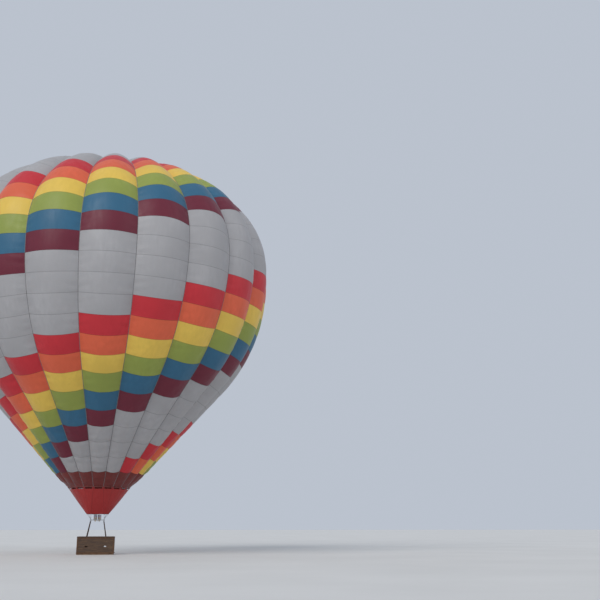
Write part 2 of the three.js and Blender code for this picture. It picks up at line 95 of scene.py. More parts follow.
# Basket
BASKET_X, BASKET_Y = 1.25, 0.75
WALL, WALL_LOW, WALL_TOP = 0.04, 0.0505, 1.12
INNER_WALL, INNER_TOP = 0.03, 1.05
CROSS_X = 0.45
RIM_X, RIM_Y, RIM_MIDDLE, RIM_CORNER = 1.23, 0.73, 1.1602, 0.0675
DECK = 0.0703
CLEAR = 0.0005
STAKE, STAKE_HALF = 0.07, 0.013
WEAVER = 0.024
CANE = WEAVER / 3
WEAVE_DEPTH = 0.0155
HOLE_X, HOLE_MIDDLE, HOLE_WIDTH, HOLE_HEIGHT = 0.62, 0.54, 0.2, 0.12
LEATHER_PROUD, LEATHER = 0.0015, 0.004
COVER_REACH, COVER_CORNER = 0.085, 0.018
HANDLE_WIDTH, HANDLE_HEIGHT = 0.16, 0.115
UPRIGHT_FOOT_X, UPRIGHT_LOW, UPRIGHT_HIGH = 0.64, 1.2003, 2.2197
SLEEVE = 0.0262
BOARDS = 9
SKID_HALF, SKID_CLEAR = 0.035, 0.001
CYLINDER_X, CYLINDER_SPACING = 1.06, 0.3
GUARD, GUARD_WALL = 0.085, 0.004
CYLINDER_FOOT = DECK + 0.0003
SHOULDER = CYLINDER_FOOT + 0.8
BELTS = (0.213, 0.473)

QUADRANTS = [(1, -1), (1, 1), (-1, 1), (-1, -1)]
UP = np.array([0.0, 0.0, 1.0])


def up(height):
    return BASE + height


# Camera, light and floor
LENS = 51.08
CAMERA = (1.915, -62.69, -17.93)
HEADING = radians(11.23)
PITCH = radians(14.95)
FLOOR_REACH = 600


def put(name, data):
    thing = bpy.data.objects.new(name, data)
    bpy.context.scene.collection.objects.link(thing)
    return thing


def make_camera():
    data = bpy.data.cameras.new("camera")
    data.sensor_width = 36
    data.lens = LENS
    data.clip_end = 2000
    camera = put("camera", data)
    camera.location = CAMERA
    camera.rotation_euler = (pi / 2 + PITCH, 0, -HEADING)
    bpy.context.scene.camera = camera


def make_sun(name, strength, azimuth, elevation, softness, colour):
    data = bpy.data.lights.new(name, "SUN")
    data.energy = strength
    data.angle = radians(softness)
    data.color = colour
    put(name, data).rotation_euler = (radians(90 - elevation), 0, radians(azimuth))


def make_studio():
    world = bpy.data.worlds.new("studio")
    world.use_nodes = True
    background = world.node_tree.nodes["Background"]
    background.inputs["Color"].default_value = (0.66, 0.72, 0.82, 1)
    background.inputs["Strength"].default_value = 0.75
    bpy.context.scene.world = world
    make_sun("key", 1.6, -38, 34, 40, (1.0, 0.97, 0.93))
    make_sun("fill", 0.5, 60, 15, 60, (1.0, 0.94, 0.88))
    bpy.context.scene.view_settings.view_transform = "Standard"


class Finish:
    """A node material round one Principled shader. Sizes are real ones, in metres."""

    def __init__(self, name, constants):
        self.material = bpy.data.materials.new(name)
        self.material.use_nodes = True
        self.nodes = self.material.node_tree.nodes
        self.links = self.material.node_tree.links
        self.shader = self.nodes["Principled BSDF"]
        self.place = self.node("TexCoord").outputs["Object"]
        for socket, value in constants.items():
            self.feed(self.shader, socket, value)

    def feed(self, node, name, value):
        socket = node.inputs[name]
        if isinstance(value, bpy.types.NodeSocket):
            self.links.new(value, socket)
        elif socket.type == "RGBA":
            socket.default_value = (*value, 1)
        else:
            socket.default_value = value

    def node(self, kind, inputs=None, **settings):
        node = self.nodes.new("ShaderNode" + kind)
        for name, value in settings.items():
            setattr(node, name, value)
        for name, value in (inputs or {}).items():
            self.feed(node, name, value)
        return node

    def math(self, operation, a, b):
        return self.node("Math", {0: a, 1: b}, operation=operation).outputs[0]

    def remap(self, value, low, high, to_low=0.0, to_high=1.0):
        return self.node("MapRange", {0: value, 1: low, 2: high, 3: to_low, 4: to_high}).outputs[0]

    def stretched(self, stretch):
        return self.node("VectorMath", {0: self.place, 1: stretch}, operation="MULTIPLY").outputs[0]

    def noise(self, size, detail, stretch=(1, 1, 1)):
        inputs = {"Vector": self.stretched(stretch), "Scale": 1 / size, "Detail": detail}
        return self.node("TexNoise", inputs).outputs[0]

    def patches(self, size, detail, low, high, stretch=(1, 1, 1)):
        return self.remap(self.noise(size, detail, stretch), low, high)

    def cells(self, size):
        inputs = {"Vector": self.place, "Scale": 1 / size}
        return self.node("TexVoronoi", inputs).outputs["Distance"]

    def wave(self, scale, way, phase=0.0):
        inputs = {"Vector": self.place, "Scale": scale, "Phase Offset": phase}
        return self.node("TexWave", inputs, bands_direction=way).outputs[1]

    def attribute(self, name):
        return self.node("Attribute", attribute_name=name).outputs["Fac"]

    def mix(self, factor, a, b):
        return self.node("Mix", {0: factor, 6: a, 7: b}, data_type="RGBA").outputs[2]

    def tones(self, factor, colour, low, high):
        return self.mix(factor, shade(colour, low), shade(colour, high))

    def ramp(self, factor, *stops):
        node = self.node("ValToRGB", {"Fac": factor})
        elements = node.color_ramp.elements
        elements[0].position = stops[0][0]
        elements[-1].position = stops[-1][0]
        for position, _ in stops[1:-1]:
            elements.new(position)
        for element, (_, colour) in zip(elements, stops):
            element.color = (*colour, 1)
        return node.outputs["Color"]

    def bump(self, height, distance, under=None):
        inputs = {"Height": height, "Distance": distance}
        if under is not None:
            inputs["Normal"] = under
        return self.node("Bump", inputs).outputs[0]

    def done(self, colour, normal, roughness=None):
        self.feed(self.shader, "Base Color", colour)
        self.feed(self.shader, "Normal", normal)
        if roughness is not None:
            self.feed(self.shader, "Roughness", roughness)
        return self.material

    def let_light_through(self, colour, normal, share):
        through = self.node("BsdfTranslucent", {"Color": colour, "Normal": normal})
        both = self.node("MixShader", {0: share, 1: self.shader.outputs[0], 2: through.outputs[0]})
        self.feed(self.nodes["Material Output"], "Surface", both.outputs[0])


def shade(colour, amount):
    return tuple(min(channel * amount, 1) for channel in colour)


# Cloth colours, linear
CLOTH = {
    "red": (0.66, 0.035, 0.05),
    "orange": (0.84, 0.15, 0.07),
    "yellow": (0.9, 0.62, 0.11),
    "green": (0.33, 0.4, 0.085),
    "blue": (0.04, 0.16, 0.28),
    "maroon": (0.18, 0.022, 0.045),
    "white": (0.46, 0.46, 0.475),
    "band": (0.2, 0.035, 0.032),
}
CLOTH_ORDER = list(CLOTH)
CYCLE = CLOTH_ORDER[:6] + 4 * ["white"]
RIPSTOP = 0.006
# Half width of a seam, and where its darkening ends; the darkening is the sewn seam line and partly painted
# shade of its groove
SEAM = (0.01, 0.018)


def cloth_finish(name, colour, share):
    """Coated ripstop nylon: sewn seams from the row and edge attributes, darkened partly as painted shade of
    their grooves, a woven grid and faint creases.
    """
    finish = Finish(name, {"Sheen Weight": 0.12, "Sheen Roughness": 0.35, "Specular IOR Level": 0.4})
    tint = finish.tones(finish.patches(2.2, 3, 0.3, 0.7), colour, 0.9, 1.05)
    streaks = finish.patches(0.25, 4, 0.35, 0.75, (1, 1, 0.25))
    tint = finish.mix(streaks, tint, shade(colour, 0.93))
    to_ring = finish.math("MULTIPLY", finish.math("PINGPONG", finish.attribute("row"), 0.5), PANEL_HEIGHT)
    to_tape = finish.attribute("edge")
    seam = finish.remap(finish.math("MINIMUM", to_ring, to_tape), *SEAM, 1.0, 0.0)
    # Seams darkened to 0.6: the sewn line, and partly painted shade of the groove along it.
    tint = finish.mix(seam, tint, shade(colour, 0.6))
    creases = finish.bump(finish.noise(0.55, 3), 0.012)
    gathers = finish.noise(0.16, 2, (1, 1, 2.5))
    near_tape = finish.remap(to_tape, 0.0, 0.6, 1.0, 0.15)
    creases = finish.bump(finish.math("MULTIPLY", gathers, near_tape), 0.014, creases)
    threads = finish.math("MAXIMUM", *[finish.math("PINGPONG", way, RIPSTOP) for way in (to_ring, to_tape)])
    normal = finish.bump(finish.math("MULTIPLY", threads, 1 / RIPSTOP), 0.0001, creases)
    stitched = finish.bump(seam, 0.002, normal)
    finish.let_light_through(tint, stitched, share)
    return finish.done(tint, stitched, finish.remap(streaks, 0, 1, 0.42, 0.58))


def webbing_finish(name, colour):
    """Woven polyester tape with fine cross ribs."""
    finish = Finish(name, {"Sheen Weight": 0.2, "Sheen Roughness": 0.5})
    wear = finish.patches(0.09, 4, 0.3, 0.7)
    tint = finish.tones(wear, colour, 0.75, 1.08)
    normal = finish.bump(finish.wave(160.0, "Z"), 0.0005, finish.bump(wear, 0.001))
    return finish.done(tint, normal, finish.remap(wear, 0, 1, 0.85, 0.65))


def metal_finish(name, colour, roughness, tinted=None, brush=(1, 1, 25)):
    """Brushed metal with scratches and dull patches. tinted: low, high and the colours of a heat tint."""
    finish = Finish(name, {"Metallic": 1.0})
    patches = finish.patches(0.05, 4, 0.3, 0.7)
    tint = finish.tones(patches, colour, 0.78, 1.08)
    if tinted:
        low, high, stops = tinted
        height = finish.node("SeparateXYZ", {0: finish.place}).outputs[2]
        heat = finish.math("ADD", height, finish.math("MULTIPLY", finish.noise(0.04, 3), 0.05))
        tint = finish.mix(0.6, tint, finish.ramp(finish.remap(heat, up(low), up(high)), *stops))
    scratches = finish.noise(0.012, 5, brush)
    dull = finish.remap(patches, 0, 1, roughness * 0.8, roughness * 1.3)
    dull = finish.math("ADD", dull, finish.math("MULTIPLY", scratches, 0.1))
    return finish.done(tint, finish.bump(scratches, 0.0003), dull)


def leather_finish(name, colour, grain):
    """Suede or leather: a fine cell grain, with rubbed lighter patches and darker ones."""
    finish = Finish(name, {"Sheen Weight": 0.25, "Sheen Roughness": 0.45, "Specular IOR Level": 0.3})
    rubbed = finish.patches(0.06, 5, 0.35, 0.7)
    tint = finish.tones(rubbed, colour, 0.7, 1.25)
    tint = finish.mix(finish.patches(0.4, 3, 0.4, 0.7), tint, shade(colour, 0.8))
    normal = finish.bump(finish.noise(grain / 3, 3), 0.0003, finish.bump(finish.cells(grain), 0.0008))
    return finish.done(tint, normal, finish.remap(rubbed, 0, 1, 0.85, 0.55))


STRAND_TONES = [
    (0.0, (0.045, 0.02, 0.009)), (0.45, (0.115, 0.055, 0.022)),
    (0.8, (0.2, 0.105, 0.045)), (1.0, (0.3, 0.18, 0.085)),
]


def wicker_finish():
    """Willow and cane: each strand has its own brown, with streaks along it; painted shade darkens the
    grooves between canes and the deep hollows of the weave.
    """
    finish = Finish("wicker", {"Coat Weight": 0.12, "Coat Roughness": 0.35})
    tint = finish.ramp(finish.attribute("strand"), *STRAND_TONES)
    streaks = finish.noise(0.004, 3, (0.15, 0.15, 1))
    tint = finish.mix(finish.remap(streaks, 0.35, 0.75), tint, (0.035, 0.016, 0.008))
    each = finish.noise(CANE, 1, (0.04, 0.04, 1))
    tint = finish.mix(finish.remap(each, 0.35, 0.65, 0.0, 0.6), tint, (0.05, 0.024, 0.011))
    scale = 2 * pi / (20 * CANE)
    cane = finish.wave(scale, "Z", -20 * scale * BASE)
    # Painted shade: near-black in the grooves between canes and, by the crest depth, in the hollows between
    # rows and beside the stakes.
    gap = finish.remap(cane, 0.3, 0.0, 0.0, 0.85)
    gap = finish.math("MAXIMUM", gap, finish.remap(finish.attribute("crest"), 0.35, 0.0, 0.0, 0.75))
    tint = finish.mix(gap, tint, (0.012, 0.007, 0.004))
    normal = finish.bump(streaks, 0.0008, finish.bump(finish.math("POWER", cane, 0.5), 0.0018))
    return finish.done(tint, normal, finish.remap(streaks, 0.3, 0.8, 0.45, 0.75))


def wood_finish(name, light, dark):
    """Planed timber with grain along X, scuffs and dirt."""
    finish = Finish(name, {"Coat Weight": 0.08, "Coat Roughness": 0.4})
    grain = finish.noise(0.03, 6, (0.06, 1, 1))
    tint = finish.ramp(grain, (0.3, dark), (0.55, light), (0.75, shade(light, 1.15)))
    scuffs = finish.patches(0.05, 5, 0.5, 0.7)
    tint = finish.mix(scuffs, tint, shade(dark, 0.6))
    normal = finish.bump(grain, 0.001, finish.bump(scuffs, 0.001))
    return finish.done(tint, normal, finish.remap(scuffs, 0, 1, 0.5, 0.8))


def jacket_finish(name, colour):
    """Coarse padded nylon."""
    finish = Finish(name, {"Sheen Weight": 0.2, "Sheen Roughness": 0.4, "Specular IOR Level": 0.25})
    dust = finish.patches(0.12, 4, 0.35, 0.75)
    tint = finish.tones(dust, colour, 1.0, 2.2)
    warp = finish.math("MAXIMUM", *[finish.wave(300.0, way) for way in "XZ"])
    normal = finish.bump(warp, 0.0006, finish.bump(finish.noise(0.08, 2), 0.006))
    return finish.done(tint, normal, finish.remap(dust, 0, 1, 0.6, 0.8))


# Low, high, and the colours between them, of steel tinted by the flame
HEAT = (2.32, 2.66, [
    (0.0, (0.3, 0.28, 0.26)), (0.35, (0.42, 0.3, 0.16)), (0.6, (0.3, 0.16, 0.2)),
    (0.8, (0.12, 0.16, 0.32)), (1.0, (0.35, 0.34, 0.33)),
])
# The materials by the names that Piece.add takes
FINISHES = {
    "webbing": webbing_finish("webbing", (0.17, 0.17, 0.175)),
    "hem": webbing_finish("hem_tape", (0.16, 0.03, 0.025)),
    "scoop_hem": webbing_finish("scoop_tape", (0.3, 0.03, 0.03)),
    "strap": webbing_finish("strap", (0.03, 0.03, 0.032)),
    "wire": metal_finish("wire", (0.55, 0.56, 0.57), 0.32, None, (1, 1, 0.4)),
    "steel": metal_finish("bright_steel", (0.6, 0.6, 0.6), 0.28),
    "alloy": metal_finish("frame_alloy", (0.42, 0.43, 0.45), 0.38),
    "can": metal_finish("can_steel", (0.6, 0.59, 0.57), 0.25, HEAT),
    "coil": metal_finish("coil_steel", (0.45, 0.42, 0.38), 0.3, HEAT),
    "brass": metal_finish("brass", (0.62, 0.42, 0.16), 0.3),
    "face": metal_finish("dial_face", (0.85, 0.85, 0.82), 0.6),
    "tank": metal_finish("tank_steel", (0.5, 0.51, 0.52), 0.35),
    "suede": leather_finish("suede", (0.085, 0.045, 0.026), 0.004),
    "sleeve": leather_finish("sleeve_leather", (0.06, 0.034, 0.024), 0.005),
    "hide": leather_finish("hide", (0.11, 0.055, 0.028), 0.007),
    "thong": leather_finish("thong", (0.22, 0.12, 0.06), 0.003),
    "red_grip": leather_finish("red_grip", (0.4, 0.02, 0.02), 0.003),
    "blue_grip": leather_finish("blue_grip", (0.02, 0.07, 0.3), 0.003),
    "jacket": jacket_finish("jacket", (0.03, 0.04, 0.07)),
    "wicker": wicker_finish(),
    "deck": wood_finish("deck_wood", (0.3, 0.2, 0.11), (0.15, 0.085, 0.04)),
    "runner": wood_finish("runner_wood", (0.22, 0.15, 0.085), (0.09, 0.055, 0.03)),
    "cloth_scoop": cloth_finish("cloth_scoop", (0.42, 0.03, 0.03), 0.15),
}
FINISHES |= {f"cloth_{name}": cloth_finish(f"cloth_{name}", colour, 0.22) for name, colour in CLOTH.items()}


def make_floor():
    finish = Finish("studio_floor", {"Roughness": 0.85})
    tint = finish.mix(finish.patches(6, 3, 0.3, 0.7), (0.62, 0.62, 0.61), (0.66, 0.66, 0.65))
    finish.done(tint, finish.bump(finish.noise(0.3, 2), 0.002))
    mesh = bpy.data.meshes.new("floor_stage")
    corners = [(sx * FLOOR_REACH, sy * FLOOR_REACH, BASE) for sx, sy in QUADRANTS]
    mesh.from_pydata(corners, [], [(0, 1, 2, 3)])
    mesh.materials.append(finish.material)
    put("floor_stage", mesh)


# Forms: a form is a pair of points and faces
def turns(count):
    return np.linspace(0, 2 * pi, count, endpoint=False)


def polar(turn, radius=1.0, centre=(0, 0), height=0.0):
    """Points round an upright axis. Turn, radius and height broadcast."""
    x = centre[0] + radius * np.cos(turn)
    y = centre[1] + radius * np.sin(turn)
    return np.stack(np.broadcast_arrays(x, y, height), axis=-1)


def grid(points, wrap_rows=False, wrap_columns=False):
    """Quads over a (rows, columns, 3) array, facing out where rows go up and columns go to the right."""
    rows, columns = points.shape[:2]
    i = np.arange(rows if wrap_rows else rows - 1)[:, None]
    j = np.arange(columns if wrap_columns else columns - 1)[None, :]
    above, right = (i + 1) % rows, (j + 1) % columns
    quads = [i * columns + j, i * columns + right, above * columns + right, above * columns + j]
    return points.reshape(-1, 3), np.stack(quads, axis=-1).reshape(-1, 4)


def shell(outer, inner, keep=None, wrap=False):
    """Two matching skins joined round their edges and round every opening left by keep."""
    rows, columns = outer.shape[:2]
    if keep is None:
        keep = np.ones((rows - 1, columns if wrap else columns - 1), bool)
    total = rows * columns
    i, j = np.nonzero(keep)
    right = (j + 1) % columns
    a, b, c, d = i * columns + j, i * columns + right, (i + 1) * columns + right, (i + 1) * columns + j
    faces = [np.stack([a, b, c, d], axis=1), np.stack([a, d, c, b], axis=1) + total]
    around = np.pad(keep, 1)
    if wrap:
        around[1:-1, 0], around[1:-1, -1] = keep[:, -1], keep[:, 0]
    for down, along, start, end in ((0, 1, a, b), (2, 1, c, d), (1, 0, d, a), (1, 2, b, c)):
        bare = ~around[i + down, j + along]
        start, end = start[bare], end[bare]
        faces.append(np.stack([end, start, start + total, end + total], axis=1))
    return np.concatenate([outer.reshape(-1, 3), inner.reshape(-1, 3)]), np.concatenate(faces)


def round_wall(outer, inner, heights, centre, keep=None):
    """An upright round wall. Its two radii go by height, or by height and turn."""
    skins = [polar(turns(96), radius, centre, heights[:, None]) for radius in (outer, inner)]
    return shell(*skins, keep, True)


def sides_along(path, closed):
    """Side and normal at each point of a path, turned as little as possible."""
    ahead = np.roll(path, -1, axis=0) - np.roll(path, 1, axis=0)
    if not closed:
        ahead[0] = path[1] - path[0]
        ahead[-1] = path[-1] - path[-2]
    ahead /= np.linalg.norm(ahead, axis=1)[:, None]
    sides = np.zeros_like(path)
    side = np.cross(ahead[0], np.eye(3)[np.argmin(np.abs(ahead[0]))])
    for k, tangent in enumerate(ahead):
        side = side - tangent * (side @ tangent)
        side = side / np.linalg.norm(side)
        sides[k] = side
    return sides, np.cross(ahead, sides)


def tube(path, radius, sides=8, closed=False):
    """A round bar along a path, with flat ends."""
    path = np.asarray(path, float)
    side, normal = sides_along(path, closed)
    turn = turns(sides)[:, None]
    radius = np.broadcast_to(radius, len(path))[:, None, None]
    ring = side[:, None] * np.cos(turn) + normal[:, None] * np.sin(turn)
    points, faces = grid(path[:, None] + radius * ring, closed, True)
    faces = [tuple(face) for face in faces]
    if not closed:
        last = len(points) - sides
        faces += [tuple(range(sides))[::-1], tuple(range(last, last + sides))]
    return points, faces


def pin(start, way, profile, sides=12):
    """A round pin along a direction, from pairs of distance and radius."""
    steps, radii = zip(*profile)
    return tube([np.add(start, np.multiply(way, step)) for step in steps], radii, sides)


def hoop(radius, height, bar, centre, count=48, sides=8):
    """A round bar bent to a level ring."""
    return tube(polar(turns(count), radius, centre, up(height)), bar, sides, True)


def turned(profile, segments=48, centre=(0, 0), base=BASE):
    """A closed profile of (radius, height), counter-clockwise, turned about Z."""
    radius, height = np.array(profile)[::-1].T[..., None]
    return grid(polar(turns(segments), radius, centre, base + height), True, True)


def rounded(body, edges, size):
    """Rounds the edges of a bmesh and takes its form out."""
    settings = {"segments": 2, "profile": 0.5, "affect": "EDGES", "clamp_overlap": True}
    bmesh.ops.bevel(body, geom=edges, offset=size, **settings)
    body.verts.index_update()
    points = np.array([v.co for v in body.verts])
    faces = [tuple(v.index for v in face.verts) for face in body.faces]
    body.free()
    return points, faces


def rounded_box(low, high, size=0.003):
    low, high = Vector(low), Vector(high)
    body = bmesh.new()
    bmesh.ops.create_cube(body, size=1)
    bmesh.ops.transform(body, matrix=Matrix.LocRotScale((low + high) / 2, None, high - low), verts=body.verts)
    return rounded(body, body.edges, size)


def softened(node, size):
    """A CAD node's own form with its sharp edges rounded."""
    body = bmesh.new()
    body.from_mesh(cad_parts[node].data)
    bmesh.ops.remove_doubles(body, verts=body.verts, dist=1e-5)
    bmesh.ops.dissolve_limit(body, angle_limit=radians(2), verts=body.verts, edges=body.edges)
    sharp = [e for e in body.edges if e.is_manifold and e.calc_face_angle(0) > radians(35)]
    return rounded(body, sharp, size)


def hexagon(centre, axis, radius=0.0065, height=0.006):
    """A bolt head on its washer."""
    seat, rim = height * 0.3, radius * 1.35
    washer = pin(centre, axis, [(0, rim), (seat, rim)], 20)
    return joined(washer, pin(centre, axis, [(seat, radius), (height, radius)], 6))


def hand_wheel(hub, axis, radius, bar, count, first):
    """A ring of round bar across an axis, with three bars right across it a little behind."""
    axis = np.asarray(axis)
    u, v = (np.roll(np.abs(axis), k) for k in (1, 2))

    def rim(turn):
        turn = np.asarray(turn)[..., None]
        return hub + radius * (np.cos(turn) * u + np.sin(turn) * v)

    spokes = [tube([rim(t) - 0.001 * axis, rim(t + pi) - 0.001 * axis], bar - 0.0015, 6)
              for t in (first, first + 1.05, first + 2.1)]
    return [tube(rim(turns(count)), bar, 8, True), *spokes]


def joined(*forms):
    points, faces, count = [], [], 0
    for some_points, some_faces in forms:
        points.append(np.asarray(some_points, float))
        faces += [tuple(int(i) + count for i in face) for face in some_faces]
        count += len(some_points)
    return np.concatenate(points), faces


def drop_loose(mesh):
    """Removes points that no face uses."""
    body = bmesh.new()
    body.from_mesh(mesh)
    bmesh.ops.delete(body, geom=[v for v in body.verts if not v.link_faces], context="VERTS")
    body.to_mesh(mesh)
    body.free()


class Piece:
    """Gathers forms, each with its own material, into one named piece."""

    def __init__(self):
        self.forms = []
        self.slots = []
        self.materials = []

    def add(self, finish, *forms):
        material = FINISHES[finish]
        if material not in self.materials:
            self.materials.append(material)
        for form in forms:
            self.forms.append(form)
            self.slots += [self.materials.index(material)] * len(form[1])
        return self

    def made(self, name, slot, replaced=(), sharp=40, floats=None, body="root"):
        points, faces = joined(*self.forms)
        mesh = bpy.data.meshes.new(name)
        mesh.from_pydata(points, [], faces)
        for material in self.materials:
            mesh.materials.append(material)
        mesh.polygons.foreach_set("material_index", self.slots)
        mesh.shade_smooth()
        mesh.set_sharp_from_angle(angle=radians(sharp))
        for label, values in (floats or {}).items():
            values = np.ravel(values).astype(np.float32)
            mesh.attributes.new(label, "FLOAT", "POINT").data.foreach_set("value", values)
        drop_loose(mesh)
        piece = put(name, mesh)
        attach(piece, body)
        if replaced:
            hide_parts(*replaced)
        return piece


# The meridian of a load tape, by the distance s below the widest ring
VENT_ANGLE = acos(VENT_OPENING / TAPE_RADIUS)
CROWN_ANGLES = np.linspace(0, VENT_ANGLE, 600)
CROWN_STEPS = np.hypot(TAPE_RADIUS * np.sin(CROWN_ANGLES), CROWN_RISE * np.cos(CROWN_ANGLES))
CROWN_STEPS = (CROWN_STEPS[1:] + CROWN_STEPS[:-1]) / 2 * np.diff(CROWN_ANGLES)
CROWN_ARC = np.concatenate([[0], np.cumsum(CROWN_STEPS)])
MOUTH_S = (MOUTH_RING + FIRST_RING) * PANEL_HEIGHT
VENT_S = -CROWN_ARC[-1]
VENT_RING = VENT_S / PANEL_HEIGHT - FIRST_RING


def ring_distance(ring):
    """Distance below the widest ring of a sewn ring."""
    ring = np.asarray(ring, float)
    return (ring + FIRST_RING) * PANEL_HEIGHT + np.interp(ring, *zip(*RING_SHIFTS))


RING_TABLE = np.arange(-12, 16)
RING_TABLE_S = ring_distance(RING_TABLE)


def meridian(s):
    """Radius, height and outward normal of the tape line."""
    s = np.asarray(s, float)
    angle = np.clip(s / BODY_ARC, 0, CONE_ANGLE)
    straight = np.maximum(s - BODY_ARC * CONE_ANGLE, 0)
    body_r = TAPE_RADIUS - BODY_ARC * (1 - np.cos(angle)) - straight * np.sin(angle)
    t = np.interp(-s, CROWN_ARC, CROWN_ANGLES)
    length = np.hypot(CROWN_RISE * np.cos(t), TAPE_RADIUS * np.sin(t))
    crown = s < 0
    r = np.where(crown, TAPE_RADIUS * np.cos(t), body_r)
    z = np.where(crown, CROWN_RISE * np.sin(t), -BODY_ARC * np.sin(angle) - straight * np.cos(angle))
    nr = np.where(crown, CROWN_RISE * np.cos(t) / length, np.cos(angle))
    nz = np.where(crown, TAPE_RADIUS * np.sin(t) / length, -np.sin(angle))
    return r, z, nr, nz


def fullness(s):
    """How far a gore bulges, from 0 at the mouth and at the vent opening to 1, and more in the crown."""
    from_mouth = np.clip((MOUTH_S - s) / PANEL_HEIGHT, 0, 1)
    from_vent = np.clip((s - VENT_S) / (1.2 * PANEL_HEIGHT), 0, 1)
    crown = 1 + CROWN_FULLNESS * np.maximum(meridian(s)[1], 0) / CROWN_RISE
    return np.sin(from_mouth * pi / 2) * np.sin(from_vent * pi / 2) * crown


def waves(rng, value, lengths, height):
    """A smooth seeded curve: a few sines of the given lengths."""
    height = height / len(lengths)
    return sum(height * np.sin(2 * pi * value / length + rng.uniform(0, 2 * pi)) for length in lengths)


def cloth_lift(rng, s, a):
    """How far the sewn cloth stands off the plain bulge: pillows, gathers by the tapes and long folds."""
    half_width = meridian(s)[0] * sin(HALF_GORE)
    row = np.interp(s, RING_TABLE_S, RING_TABLE)
    part = row - np.floor(row + 1e-6)
    ends = np.minimum(fullness(s), 1)
    lift = PILLOW * np.sqrt(4 * part * (1 - part)) * (1 - a ** 4) * (0.35 + 0.65 * ends)
    for side in (-1, 1):
        to_tape = half_width * (1 - side * a)
        rise = (1 - np.exp(-to_tape / 0.12)) * np.exp(-to_tape / 0.38)
        lift = lift + rise * waves(rng, s + 0.25 * to_tape, (0.47, 0.61, 0.83), 3.2 * GATHER)
    slack = 0.25 + 0.75 * np.clip((s - 0.35 * MOUTH_S) / (0.5 * MOUTH_S), 0, 1)
    drift = waves(rng, s, (3.1, 5.7), 0.35)
    folds = waves(rng, a + drift, (0.9, 0.62, 1.7), 1.0) * (1 - a * a)
    lift = lift + FOLD * slack * folds * ends * np.clip(half_width / 1.2, 0.3, 1)
    broad = waves(rng, s, (2.3, 3.9), 0.010) * waves(rng, a, (1.1, 1.9), 1.0) * (1 - a * a)
    return (lift + broad) * np.clip((1 - np.abs(a)) * 12, 0, 1)


def gore_surface(rng, s, a):
    """Points of a gore about azimuth 0, at distance s and share a of its half width."""
    s, a = np.broadcast_arrays(s, a)
    r, z, nr, nz = meridian(s)
    swell = BULGE_SHARE * r * (1 - a * a) * fullness(s)
    lean = np.arctan(2 * a * BULGE_SHARE / sin(HALF_GORE) * fullness(s))
    lift = cloth_lift(rng, s, a)
    off = swell + lift * np.cos(lean)
    side = a * r * sin(HALF_GORE) + lift * np.sin(lean)
    return np.stack([side, -r * cos(HALF_GORE) - off * nr, z + off * nz], axis=-1)


def turned_by(points, azimuth):
    c, s = cos(azimuth), sin(azimuth)
    return points @ np.array([[c, s, 0], [-s, c, 0], [0, 0, 1]])


def panel_colour(number, ring):
    """The colours step up one panel from gore to gore; the last row is one dark band."""
    if ring == MOUTH_RING - 1:
        return "band"
    return CYCLE[(ring + number - 5) % len(CYCLE)]


def make_gore(number):
    """Panels from the mouth in even steps up to ring -10, and in eight more to the vent opening."""
    rings = np.arange(MOUTH_RING * PANEL_STEPS, -10 * PANEL_STEPS - 1, -1) / PANEL_STEPS
    rings = np.concatenate([rings, np.linspace(-10, VENT_RING, 9)[1:]])
    even = np.linspace(-1, 1, ACROSS_STEPS + 1)
    a = (0.5 * even + 0.5 * np.sin(even * pi / 2))[None, :]
    s = ring_distance(rings)[:, None]
    points = gore_surface(np.random.default_rng(40 + number), s, a)
    piece = Piece()
    piece.materials = [FINISHES[f"cloth_{name}"] for name in CLOTH_ORDER]
    piece.forms = [grid(turned_by(points, 2 * HALF_GORE * (number - 1)))]
    middle = np.floor((rings[1:] + rings[:-1]) / 2).astype(int)
    colours = [CLOTH_ORDER.index(panel_colour(number, ring)) for ring in middle]
    piece.slots = np.repeat(colours, ACROSS_STEPS)
    to_tape = meridian(s)[0] * sin(HALF_GORE) * (1 - np.abs(a))
    floats = {"row": np.broadcast_to(rings[:, None], to_tape.shape), "edge": to_tape}
    name = f"gore_{number:02d}"
    piece.made(f"{name}_cloth", "envelope_fabric", [name], 180, floats)


def tape_axes(index):
    """The outward and the sideways direction at a load tape."""
    azimuth = HALF_GORE * (2 * index + 1)
    return np.array([sin(azimuth), -cos(azimuth), 0]), np.array([cos(azimuth), sin(azimuth), 0])


def flat_tape(index, outer, inner, half_width):
    """A tape at a load tape's azimuth, from its outer and inner lines of radius and height."""
    outward, side = tape_axes(index)
    columns = [line[:, :1] * outward + line[:, 1:] * UP + across * half_width * side
               for line, across in ((outer, -1), (outer, 1), (inner, 1), (inner, -1))]
    return grid(np.stack(columns, axis=1), False, True)


def load_tape(index):
    """A flat tape sewn down a valley between two gores."""
    count = round((MOUTH_S - VENT_S) / PANEL_HEIGHT * TAPE_STEPS)
    s = np.linspace(MOUTH_S, VENT_S, count + 1)
    r, z, nr, nz = meridian(s)
    valley = np.tan(np.arctan(2 * BULGE_SHARE / sin(HALF_GORE) * fullness(s)) - HALF_GORE)
    off = TAPE_PROUD + TAPE_HALF * valley
    outer, inner = (np.stack([r + d * nr, z + d * nz], axis=1) for d in (off, off - TAPE_THICKNESS))
    return flat_tape(index, outer, inner, TAPE_HALF)


def from_vent_edge(along, depth):
    """Radius and height of a point along the crown from the vent's edge, depth below its surface."""
    r, z, nr, nz = (float(value) for value in meridian(VENT_S))
    return r - along * nz - depth * nr, z + along * nr - depth * nz


def on_crown(radius, lift=0.0):
    """Radius and height of a point of the crown over the vent, lifted off it."""
    return radius, CROWN_RISE * sqrt(1 - (radius / TAPE_RADIUS) ** 2) + lift


